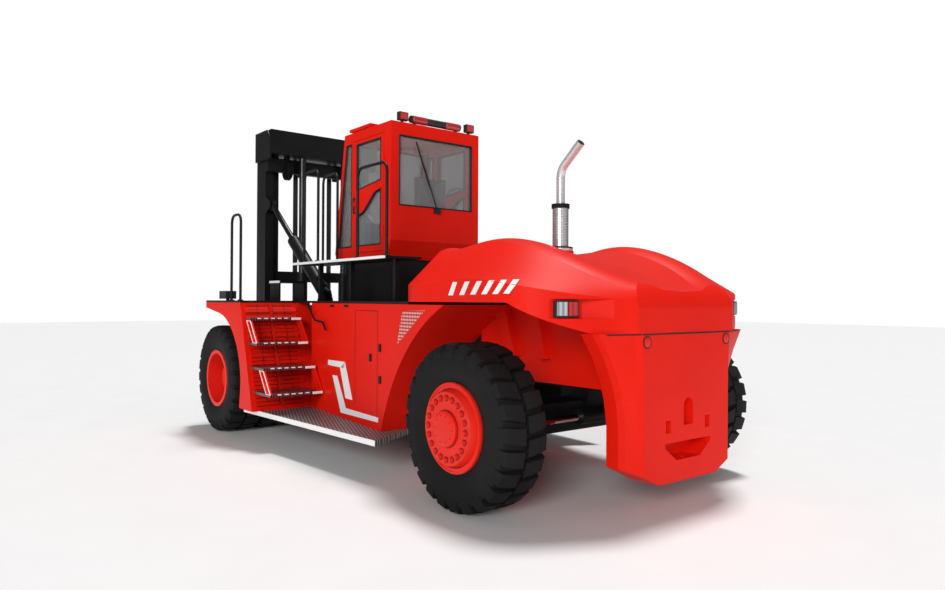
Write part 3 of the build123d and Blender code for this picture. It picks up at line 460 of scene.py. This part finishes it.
# Paint on the carried-over nodes
NODE_FINISH = {"lift_rods": "dark_rod", "tilt_rods": "dark_rod", "lift_chains": "dark_rod",
               "entry_steps": "grating", "catwalks": "black", "exhaust_stack": "stack_metal",
               "step_frames": "red"}
SOFT_EDGES = ("counterweight", "front_fenders", "cab_roof", "cab_door_left", "cab_door_right", "mast_outer",
              "mast_inner", "fork_left", "fork_right")


def dress_nodes():
    for row in frame["record"]["subparts"]:
        obj = NODES[row["node"]]
        obj.data.materials.clear()
        finish = NODE_FINISH.get(row["node"], row["material_slot"])
        obj.data.materials.append(MATERIALS[finish])
        if row["node"] in SOFT_EDGES:
            edge = obj.modifiers.new("edge", "BEVEL")
            edge.width = 0.007
            edge.segments = 2
            edge.limit_method = "ANGLE"
            edge.angle_limit = math.radians(32)
            edge.harden_normals = True


# Wheels
REAR_DISC = 0.300         # the rear wheel's bolting disc stands out past the rim's edge
DISC_NUTS = 0.286
DISH = [(0.3705, -0.14), (0.3705, -0.105), (0.353, -0.014), (0.340, 0.0)]   # radius and height off the disc
DISH_CAP = [(0.168, 0.0), (0.168, 0.026), (0.158, 0.034), (0.146, 0.036), (0.100, 0.040)]
LIP_RING = [(0.404, 0.232), (0.418, 0.232), (0.418, 0.243), (0.404, 0.243)]


def tyre(shape, centre_y, side, centre_x):
    """Carcass with two staggered rows of deep shoulder lugs."""
    half = TYRE_W / 2
    floor_r = WHEEL_R - LUG_GROOVE
    right = [(0.211, RIM_SEAT), (0.211, 0.430), (0.232, 0.462), (0.252, 0.540), (half, 0.610), (0.256, 0.680),
             (0.240, 0.728), (0.200, floor_r - 0.006), (0.0, floor_r)]
    profile = [(r, y) for y, r in right] + [(r, -y) for y, r in reversed(right[:-1])]
    place = Matrix.Translation((centre_x, centre_y, WHEEL_R)) @ Matrix.Rotation(-math.pi / 2, 4, "X")
    shape.lathe(profile, place, 96, hollow=True)
    lug_line = [(0.018, 0.792), (0.10, 0.799), (0.185, 0.796), (0.232, 0.782), (0.252, 0.738),
                (0.2585, 0.672)]
    pitch = 2 * math.pi / LUGS
    for row in (1, -1):
        for i in range(LUGS):
            turn = pitch * (i + (0.5 if row * side < 0 else 0))
            verts, faces = [], []
            for y, r in lug_line:
                sweep = turn + 0.20 * y * side
                wide = 0.37 * pitch - 0.05 * pitch * y / half
                base_r = min(r - 0.012, floor_r) - 0.02
                base_y = y if r > 0.75 else y - 0.012
                for a, radius, across in ((sweep - wide * 1.12, base_r, base_y), (sweep - wide, r, y),
                                          (sweep + wide, r, y), (sweep + wide * 1.12, base_r, base_y)):
                    verts.append((radius * math.cos(a), radius * math.sin(a), row * across))
            count = len(lug_line)
            for k in range(count - 1):
                for e in range(3):
                    faces.append((4 * k + e, 4 * k + e + 1, 4 * k + e + 5, 4 * k + e + 4))
            faces += [(0, 1, 2, 3), tuple(4 * (count - 1) + e for e in range(4))]
            shape.add(verts, faces, place)


def nut_ring(shape, centre, side, radius, count, size, height):
    """Hex nuts on washers round a wheel disc, at the disc's outer face."""
    for i in range(count):
        a = 2 * math.pi * i / count
        at = (centre[0] + radius * math.cos(a), centre[1], centre[2] + radius * math.sin(a))
        place = facing(at, (0, side, 0))
        shape.lathe([(size * 1.25, 0.0), (size * 1.25, 0.006), (size * 1.1, 0.010)], place, 16)
        shape.lathe([(size, 0.008), (size, height), (size * 0.8, height + 0.005)], place, 6)


def dress_wheels():
    for name, side in SIDES:
        low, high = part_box(f"rear_tyre_{name}")
        middle = (low[1] + high[1]) / 2
        rear = Shape()
        tyre(rear, middle, side, REAR_AXLE_X)
        obj = rear.done(f"rear_tread_{name}", "tread_rubber", f"rear_wheel_{name}",
                        smooth=True)
        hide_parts(f"rear_tyre_{name}")

        low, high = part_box(f"front_tyres_{name}")
        twin = Shape()
        front_x = (low[0] + high[0]) / 2
        for y in (low[1] + TYRE_W / 2, high[1] - TYRE_W / 2):
            tyre(twin, y, side, front_x)
        obj = twin.done(f"front_treads_{name}", "tread_rubber", f"front_wheels_{name}",
                        smooth=True)
        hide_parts(f"front_tyres_{name}")

        nuts = Shape()
        disc = (REAR_AXLE_X, side * (abs(middle) + REAR_DISC), WHEEL_R)
        out = facing(disc, (0, side, 0))
        nuts.lathe(DISH, out, 64)
        nuts.lathe(DISH_CAP, out, 48)
        lip = facing((REAR_AXLE_X, side * abs(middle), WHEEL_R), (0, side, 0))
        nuts.lathe(LIP_RING, lip, 64, hollow=True)
        nut_ring(nuts, disc, side, DISC_NUTS, 20, 0.018, 0.024)
        nut_ring(nuts, disc, side, 0.128, 10, 0.006, 0.044)
        # Painted shade: darker red rings round the foot of each nut and round the dish cap, where shade falls
        # on the disc.
        nut_shade_rings = Shape()
        for i in range(20):
            a = math.pi * i / 10
            at = (disc[0] + DISC_NUTS * math.cos(a), disc[1], disc[2] + DISC_NUTS * math.sin(a))
            nut_shade_rings.lathe([(0.031, -0.002), (0.031, 0.004), (0.024, 0.0045)], facing(at, (0, side, 0)), 20)
        nut_shade_rings.lathe([(0.170, 0.001), (0.178, 0.001), (0.178, 0.003), (0.170, 0.003)], out, 48, hollow=True)
        nut_shade_rings.done(f"rear_nut_painted_shade_{name}", "nut_painted_shade", f"rear_wheel_{name}", smooth=True)
        nuts.done(f"rear_nuts_{name}", "rim_red", f"rear_wheel_{name}", smooth=True)

        hub = Shape()
        outer = max(abs(low[1]), abs(high[1])) - TYRE_W / 2
        disc = outer - 0.235 + 0.032
        nut_ring(hub, (front_x, side * disc, WHEEL_R), side, 0.320, 20, 0.019, 0.024)
        nut_ring(hub, (front_x, side * (outer + 0.02), WHEEL_R), side, 0.220, 16, 0.013, 0.012)
        hub.done(f"front_nuts_{name}", "rim_red", f"front_wheels_{name}", smooth=True)


# Stripes and joint lines on the body
HAZARD = [   # lower front, lower rear, upper rear and upper front corner of each stripe
    ((0.350, 1.651, 2.042), (0.266, 1.656, 2.041), (0.185, 1.665, 2.171), (0.265, 1.658, 2.173)),
    ((0.146, 1.671, 2.044), (0.052, 1.684, 2.044), (-0.053, 1.701, 2.171), (0.037, 1.687, 2.172)),
    ((-0.057, 1.698, 2.047), (-0.150, 1.709, 2.046), (-0.261, 1.721, 2.171), (-0.182, 1.718, 2.172)),
    ((-0.249, 1.722, 2.049), (-0.332, 1.725, 2.049), (-0.416, 1.704, 2.172), (-0.362, 1.724, 2.173)),
    ((-0.404, 1.720, 2.051), (-0.471, 1.710, 2.051), (-0.513, 1.641, 2.176), (-0.468, 1.672, 2.176)),
    ((-0.526, 1.696, 2.054), (-0.583, 1.675, 2.054), (-0.586, 1.557, 2.180), (-0.547, 1.597, 2.180)),
]
BEND_UPPER = [((3.546, 1.108), (2.99, 1.108), (2.953, 1.19), (3.546, 1.177)),
              ((3.12, 1.10), (2.93, 0.725), (2.70, 0.728), (2.955, 1.19))]
BEND_LOWER = [((3.385, 0.985), (3.085, 0.520), (2.915, 0.600), (3.21, 0.987)),
              ((3.085, 0.520), (1.944, 0.555), (1.933, 0.612), (2.915, 0.600))]
HATCH = ((1.46, 1.50), (1.37, 1.545), (0.70, 1.955), (1.30, 1.950))
SERVICE_DOOR = [(2.629, 0.70), (2.629, 1.862), (1.975, 1.862), (1.975, 0.60)]


def dress_body():
    for name, side in SIDES:
        hazard = Shape()
        for corners in HAZARD:
            seen_patch(hazard, "hood", mirrored(corners, side), side)
        hazard.done(f"hazard_stripes_{name}", "white", "chassis")
        bend = Shape()
        for patch in BEND_UPPER + BEND_LOWER:
            side_patch(bend, "side_bodies", patch, side)
        bend.done(f"bent_stripes_{name}", "white", "chassis")
        lines = Shape()
        side_line(lines, "side_bodies", SERVICE_DOOR, 0.010, side)
        lines.done(f"service_door_lines_{name}", "joint_line", "chassis")
        hatch = Shape()
        side_patch(hatch, "side_bodies", HATCH, side, 6, 6)
        hatch.done(f"hatch_mesh_{name}", "hatch", "chassis")


# Small trim on the body, stairs and stack
GRAB = [(3.961, 1.707), (3.652, 1.687), (3.538, 1.581)]
GRAB_RISE = (0.235, 0.0, 0.225)   # from the handle's bend up to the deck
TABS = [(3.397, 1.91), (2.914, 1.914)]
LATCHES = [(2.159, 1.302), (1.895, 1.432), (1.89, 1.058)]
BOARD_EDGE = [(4.66, 2.025), (1.42, 1.836)]
BOARD_LEVEL = (0.40, 0.463)
EDGE_STRIPS = [(2.06, 4.62, 1.32, 2.498, 2.532), (4.72, 5.08, 1.48, 2.238, 2.272)]   # ends, Y and heights
EDGE_T = 0.006            # thickness of the white edges
RAIL_FEET = [(2.08, 1.29, 2.53), (2.78, 1.29, 2.53), (3.88, 1.29, 2.53), (4.31, 1.29, 2.53),
             (4.14, 0.85, 2.53), (4.59, 0.85, 2.53), (4.90, 2.00, 1.975), (5.25, 2.00, 1.975)]
REAR_LAMP = ((-0.983, 1.202), (-0.913, 1.431), (1.847, 1.997))   # inner and outer corner, height
DASH = 0.055              # white dashes along each tread's edge
DASH_PITCH = 0.10
STEP_FRAME = 0.130        # length of each stair frame along X
STEP_FRAME_OUT = 1.70     # only the frames beyond this carry a white edge
LATTICE_FROM = 3.60       # behind the wall at the head of the stairs
LATTICE_Z = (0.52, 1.93)
LATTICE_PITCH = 0.055
LATTICE_ROWS = 26
LATTICE_LINE = 0.011
LATTICE_POST = 0.006      # half a post's width
LATTICE_COLUMNS = [(1.34, 1.62), (1.70, 2.02)]
LATTICE_POSTS = [1.46, 1.63, 1.69, 1.86]
WEIGHT_PLUGS = (-0.63, 0.63)
PLUG_Z = 1.62
BEHIND = -9               # rays at the rear start here
SEAM_HALF = 1.05
SEAM_Z = 1.699
SEAM_W = 0.014
SEAM_PARTS = 40
PULLEYS = [(6.36, -0.62, 4.21), (6.36, 0.62, 4.21)]
STACK_X = 0.43
STACK_TIP = (0.12, 3.75)


def wall_point(node, x, z, side, out):
    hit = landed(node, (from_rear(x), 4 * side, z), (0, -side, 0))
    return hit + Vector((0, side * out, 0))


def dress_sides():
    for name, side in SIDES:
        dark = Shape()
        rail = [wall_point("side_bodies", x, z, side, 0.045) for x, z in GRAB]
        dark.tube([rail[0] + Vector(GRAB_RISE)] + rail, 0.013)
        for x, z in TABS:
            at = wall_point("side_bodies", x, z, side, 0.0)
            dark.box((-0.055, -0.012, -0.014), (0.055, 0.012, 0.014), Matrix.Translation(at))
        for x, z in LATCHES:
            at = wall_point("side_bodies", x, z, side, 0.0)
            dark.box((-0.022, -0.014, -0.045), (0.022, 0.014, 0.045), Matrix.Translation(at))
        dark.done(f"side_fittings_{name}", "black", "chassis", bevel=0.004)

        edges = Shape()
        for a, b in zip(BOARD_EDGE, BOARD_EDGE[1:]):
            low, high = BOARD_LEVEL
            run = mirrored([(*a, low), (*b, low), (*b, high), (*a, high)], side)
            edges.slab(run, (0, side * EDGE_T, 0))
        for start, end, y, low, high in EDGE_STRIPS:
            run = mirrored([(start, y, low), (end, y, low), (end, y, high), (start, y, high)], side)
            edges.slab(run, (0, side * EDGE_T, 0))
        edges.done(f"board_edges_{name}", "white", "chassis")

        feet = Shape()
        for x, y, z in RAIL_FEET[0 if side > 0 else 2:]:
            at = Matrix.Translation((from_rear(x), y * side, z))
            feet.lathe([(0.042, 0.0), (0.042, 0.010), (0.028, 0.016)], at, 20)
        feet.done(f"rail_feet_{name}", "black", "chassis", smooth=True)

        inner, outer, (low, high) = REAR_LAMP
        for part, start, end in (("red", 0.06, 0.46), ("clear", 0.50, 0.94)):
            a, b = (Vector(inner).lerp(Vector(outer), t) for t in (start, end))
            corners = [(*a, low + 0.014), (*b, low + 0.014), (*b, high - 0.014), (*a, high - 0.014)]
            cover = Shape()
            cover.slab(mirrored(corners, side), (-0.010, side * 0.003, 0))
            cover.done(f"rear_lens_{part}_{name}", f"{part}_lens", "chassis", bevel=0.003)

    nosings_and_highlights = Shape()
    for low, high in islands("entry_steps"):
        side = 1 if low.y > 0 else -1
        near, far = sorted((abs(low.y), abs(high.y)))
        # The tall white block at the inner end of each tread is a painted highlight on the bolt brackets; the
        # dashes after it are the treads' white nosing.
        runs = [(near + 0.01, near + 0.16, 0.030)]
        dashes = [near + 0.21 + DASH_PITCH * i for i in range(8)]
        runs += [(y, y + DASH, 0.012) for y in dashes if y + DASH < far]
        for start, end, tall in runs:
            a, b = sorted((start * side, end * side))
            nosings_and_highlights.box((low.x - 0.006, a, high.z - tall), (low.x + 0.010, b, high.z + 0.003))
    for low, high in islands("step_frames"):
        if min(abs(low.y), abs(high.y)) > STEP_FRAME_OUT:
            y = (high.y + 0.004) if low.y > 0 else (low.y - 0.004)
            ring = [(low.x, y, low.z), (low.x + STEP_FRAME, y, low.z),
                    (high.x, y, high.z), (high.x - STEP_FRAME, y, high.z)]
            for a, b in zip(ring, ring[1:] + ring[:1]):
                nosings_and_highlights.bar(a, b, 0.006, 6)
    nosings_and_highlights.done("step_nosings_and_highlights", "white", "chassis")

    lattice = Shape()
    for name, side in SIDES:
        for z in (LATTICE_Z[0] + LATTICE_PITCH * i for i in range(LATTICE_ROWS)):
            for start, end in LATTICE_COLUMNS:
                ends = (start * side, end * side)
                rear_patch(lattice, "front_fenders", ends, (z, z + LATTICE_LINE), LATTICE_FROM, 6, 1)
        for y in LATTICE_POSTS:
            ends = ((y - LATTICE_POST) * side, (y + LATTICE_POST) * side)
            rear_patch(lattice, "front_fenders", ends, LATTICE_Z, LATTICE_FROM, 1, 30)
    lattice.done("stair_lattice", "joint_line", "chassis")

    rear = Shape()
    for y in WEIGHT_PLUGS:
        at = landed("counterweight", (BEHIND, y, PLUG_Z), (1, 0, 0))
        rear.lathe([(0.045, -0.004), (0.045, 0.005), (0.036, 0.009)], facing(at, (-1, 0, 0)), 32)
    rear.done("weight_plugs", "rim_red", "chassis", smooth=True)
    # Dark joint rings round the weight plugs, and a dark strip along the joint under the hood's rear edge:
    # partly the real joint, partly painted shade standing for the underside of the hood's overhanging lip.
    seam = Shape()
    for y in WEIGHT_PLUGS:
        at = landed("counterweight", (BEHIND, y, PLUG_Z), (1, 0, 0))
        seam.lathe([(0.045, -0.004), (0.058, -0.004), (0.058, 0.003), (0.045, 0.003)],
                   facing(at, (-1, 0, 0)), 32, hollow=True)
    for i in range(SEAM_PARTS):
        a, b = (-SEAM_HALF + 2 * SEAM_HALF * k / SEAM_PARTS for k in (i, i + 1))
        corners = [landed("counterweight", (BEHIND, y, z), (1, 0, 0)) for y, z in
                   ((a, SEAM_Z - SEAM_W), (b, SEAM_Z - SEAM_W), (b, SEAM_Z), (a, SEAM_Z))]
        if all(c is not None for c in corners):
            seam.add([c - Vector((0.004, 0, 0)) for c in corners], [(0, 1, 2, 3)])
    seam.done("hood_seam_and_lip_shade", "gasket", "chassis")

    pulley = Shape()
    for x, y, z in PULLEYS:
        middle = Matrix.Translation((from_rear(x), y, z))
        at = middle @ Matrix.Rotation(math.pi / 2, 4, "X")
        pulley.lathe([(0.05, -0.03), (0.165, -0.03), (0.165, -0.018), (0.140, -0.006), (0.140, 0.006),
                      (0.165, 0.018), (0.165, 0.03), (0.05, 0.03)], at, 40, hollow=True)
        for k in range(6):
            turn = at @ Matrix.Rotation(k * math.pi / 3, 4, "Z")
            pulley.box((0.0, -0.014, -0.012), (0.145, 0.014, 0.012), turn)
        pulley.lathe([(0.045, -0.06), (0.045, 0.06)], at, 24)
        pulley.box((-0.02, -0.03, 0.0), (0.10, 0.03, 0.24), middle)
    pulley.done("hose_pulleys", "black", "mast_inner", smooth=True)


def dress_stack():
    foot = Matrix.Translation((from_rear(STACK_X), 0, 0))
    sleeve = Shape()
    sleeve.lathe([(0.0875, 2.60), (0.0905, 2.60), (0.0905, 3.046), (0.0875, 3.046)], foot, 48, hollow=True)
    sleeve.done("stack_guard", "guard", "chassis", smooth=True)
    rings = Shape()
    rings.lathe([(0.088, 2.588), (0.142, 2.588), (0.142, 2.602), (0.100, 2.612), (0.088, 2.612)],
                foot, 48, hollow=True)
    rings.lathe([(0.080, 3.044), (0.1025, 3.044), (0.1025, 3.094), (0.050, 3.098)], foot, 48, hollow=True)
    mouth = Vector((-0.31, 0, 0.27)).normalized()
    tip = Vector((from_rear(STACK_TIP[0]), 0, STACK_TIP[1]))
    # Dark disc over the pipe's mouth: soot, with painted shade standing for the hollow inside of the pipe.
    rings.lathe([(0.042, -0.004), (0.042, 0.002), (0.030, 0.0025)], facing(tip, mouth), 24)
    rings.done("stack_rings", "dark", "chassis", smooth=True)


def cushion(pad, seam, near, far, upright):
    """Crowned cushion whose sides pull in between its corners, with sewn channels and piping."""
    near, far = Vector(near), Vector(far)
    middle, half = (near + far) / 2, (far - near) / 2
    steps = 18

    def place(u, v, w):
        """Cube point to cushion point: u and v lie in the cushion's face, w goes through it."""
        across, along, deep = (half.z, half.y, half.x) if upright else (half.x, half.y, half.z)
        crown = 0.66 + 0.34 * (1 - u ** 4) * (1 - v ** 4)
        groove = sum(math.exp(-((v - at) / 0.05) ** 2) for at in (-0.42, 0.42)) if w > 0 else 0.0
        bulge = 1 - 0.10 * abs(w) ** 3
        a = across * u * (1 - 0.07 * (1 - v * v)) * bulge
        b = along * v * (1 - 0.06 * (1 - u * u)) * bulge
        c = deep * w * (crown if w > 0 else 1.0) - 0.014 * groove * max(w, 0.0)
        return middle + (Vector((c, b, a)) if upright else Vector((a, b, c)))

    ticks = [2 * i / steps - 1 for i in range(steps + 1)]
    index, verts, faces = {}, [], []

    def corner(key):
        if key not in index:
            index[key] = len(verts)
            verts.append(tuple(place(*key)))
        return index[key]

    for axis in range(3):
        for end in (-1.0, 1.0):
            for i in range(steps):
                for j in range(steps):
                    loop = []
                    for s, t in ((i, j), (i + 1, j), (i + 1, j + 1), (i, j + 1)):
                        key = [ticks[s], ticks[t]]
                        key.insert(axis, end)
                        loop.append(corner(tuple(key)))
                    faces.append(tuple(loop))
    pad.add(verts, faces)
    rim = [(t, -1.0) for t in ticks] + [(1.0, t) for t in ticks[1:]] + [(-t, 1.0) for t in ticks[1:]]
    rim += [(-1.0, -t) for t in ticks[1:]]
    seam.tube([place(u * 0.985, v * 0.985, 0.80) for u, v in rim], 0.006, 6)


BEAD_REACH = 0.045
BEAD_WALLS = {"cab_glass": ("cab_left_wall", "cab_right_wall", "cab_rear_wall", "cab_front_wall"),
              "cab_door_glass_left": ("cab_door_left",), "cab_door_glass_right": ("cab_door_right",)}


# Cab: glazing beads, wiper, lamps, seat and door pulls
def dress_cab():
    for node, body in (("cab_glass", "chassis"), ("cab_door_glass_left", "cab_door_left"),
                       ("cab_door_glass_right", "cab_door_right")):
        bead = Shape()
        edge_frames(bead, node, 0.011)
        for wall in BEAD_WALLS[node]:
            opening_beads(bead, wall, node, 0.010)
        bead.done(f"beads_{node}", "gasket", body)

    wiper = Shape()
    wiper_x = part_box("cab_rear_wall")[0][0] - 0.012
    wiper.box((-0.02, -0.05, -0.04), (0.012, 0.05, 0.04), Matrix.Translation((wiper_x, 0.0, 3.24)))
    wiper.bar((wiper_x, 0.0, 3.25), (wiper_x, 0.235, 3.86), 0.009)
    wiper.bar((wiper_x - 0.002, 0.13, 3.56), (wiper_x - 0.002, 0.36, 4.16), 0.012)
    wiper.done("rear_wiper", "trim", "chassis")

    lamps = Shape()
    sleeves = Shape()
    for low, high in islands("roof_lamps"):
        middle = (low + high) / 2
        if high.y - low.y > 0.5:
            for y in (-0.40, 0.16):
                sleeves.lathe([(0.048, 0.0), (0.053, 0.004), (0.053, 0.236), (0.048, 0.24)],
                              facing((middle.x, y, high.z - 0.05), (0, 1, 0)), 24)
        else:
            sleeves.box((low.x - 0.008, low.y + 0.012, high.z - 0.098),
                        (low.x + 0.004, high.y - 0.012, high.z - 0.012))
    for low, high in islands("front_lamps"):
        lamps.box((high.x - 0.004, low.y + 0.012, high.z - 0.105),
                  (high.x + 0.008, high.y - 0.012, high.z - 0.012))
    lamps.done("lamp_lenses", "clear_lens", "chassis", bevel=0.003)
    sleeves.done("light_bar_lenses", "red_lens", "chassis", smooth=True)

    low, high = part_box("seat")
    base = Shape()
    base.box((low[0] + 0.14, -0.20, low[2]), (high[0] - 0.10, 0.20, low[2] + 0.08))
    base.box((low[0] + 0.20, -0.16, low[2] + 0.08), (high[0] - 0.16, 0.16, 3.0))
    pedestal = base.done("seat_base", "trim", "chassis", bevel=0.01)
    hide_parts("seat")
    for part, near, far in (("cushion", (low[0] + 0.06, -0.27, 2.995), (high[0], 0.27, 3.12)),
                            ("back", (low[0], -0.26, 3.10), (low[0] + 0.13, 0.26, high[2]))):
        pad = Shape()
        seam = Shape()
        cushion(pad, seam, near, far, part == "back")
        obj = pad.done(f"seat_{part}", "seat_cloth", "chassis", smooth=True)
        smoother = obj.modifiers.new("round", "SUBSURF")
        smoother.levels = 1
        smoother.render_levels = 1
        seam.done(f"seat_{part}_piping", "trim", "chassis", smooth=True)

    for name, side in SIDES:
        pull = Shape()
        points = [wall_point(f"cab_door_{name}", 3.79, z, side, out) for z, out in
                  ((3.24, 0.0), (3.24, 0.035), (3.44, 0.035), (3.44, 0.0))]
        pull.tube(points, 0.010)
        pull.done(f"door_pull_{name}", "trim", f"cab_door_{name}", smooth=True)


# Floor, light and camera
def light(name, place, aim, power, spread):
    """Broad even light from far off."""
    data = bpy.data.lights.new(name, "SUN")
    data.energy = power
    data.angle = math.radians(spread)
    obj = bpy.data.objects.new(name, data)
    bpy.context.collection.objects.link(obj)
    obj.location = place
    obj.rotation_euler = (Vector(aim) - Vector(place)).to_track_quat("-Z", "Y").to_euler()


def studio():
    mesh = bpy.data.meshes.new("floor")
    mesh.from_pydata([(-60, -60, 0), (60, -60, 0), (60, 60, 0), (-60, 60, 0)], [], [(0, 1, 2, 3)])
    floor = bpy.data.objects.new("floor", mesh)
    bpy.context.collection.objects.link(floor)
    paint = coating("pale_floor", (0.90, 0.90, 0.90), (0.92, 0.92, 0.92), (0.6, 0.7), grain=3, relief=0.0)
    mesh.materials.append(paint)
    world = bpy.data.worlds.new("studio")
    bpy.context.scene.world = world
    world.use_nodes = True
    nodes, links = world.node_tree.nodes, world.node_tree.links
    ambient = nodes["Background"]
    ambient.inputs["Strength"].default_value = 0.16
    backdrop = nodes.new("ShaderNodeBackground")
    seen = nodes.new("ShaderNodeLightPath")
    choose = nodes.new("ShaderNodeMixShader")
    for shade in (ambient, backdrop):
        shade.inputs["Color"].default_value = (1, 1, 1, 1)
    links.new(seen.outputs["Is Camera Ray"], choose.inputs["Fac"])
    links.new(ambient.outputs["Background"], choose.inputs[1])
    links.new(backdrop.outputs["Background"], choose.inputs[2])
    links.new(choose.outputs["Shader"], nodes["World Output"].inputs["Surface"])
    light("key", (-9, 13, 6), (0, 0, 1), 1.8, 25)
    light("fill", (-14, -3, 5), (0, 0, 1.5), 0.22, 60)
    light("top", (2, -4, 15), (0, 0, 0), 2.3, 12)
    bpy.context.scene.view_settings.view_transform = "Standard"


def add_camera():
    yaw, pitch, roll = (math.radians(a) for a in (CAMERA_YAW, CAMERA_PITCH, CAMERA_ROLL))
    forward = Vector((math.cos(pitch) * math.cos(yaw), -math.cos(pitch) * math.sin(yaw), -math.sin(pitch)))
    right = Vector((-math.sin(yaw), -math.cos(yaw), 0))
    down = forward.cross(right)
    across = right * math.cos(roll) + down * math.sin(roll)
    below = down * math.cos(roll) - right * math.sin(roll)
    place = Matrix((across, -below, -forward)).transposed().to_4x4()
    place.translation = CAMERA_PLACE
    data = bpy.data.cameras.new("camera")
    data.lens = CAMERA_LENS
    data.sensor_width = 36
    data.clip_end = 200
    camera = bpy.data.objects.new("camera", data)
    bpy.context.collection.objects.link(camera)
    camera.matrix_world = place
    bpy.context.scene.camera = camera


dress_nodes()
dress_wheels()
dress_body()
dress_sides()
dress_stack()
dress_cab()
studio()
add_camera()
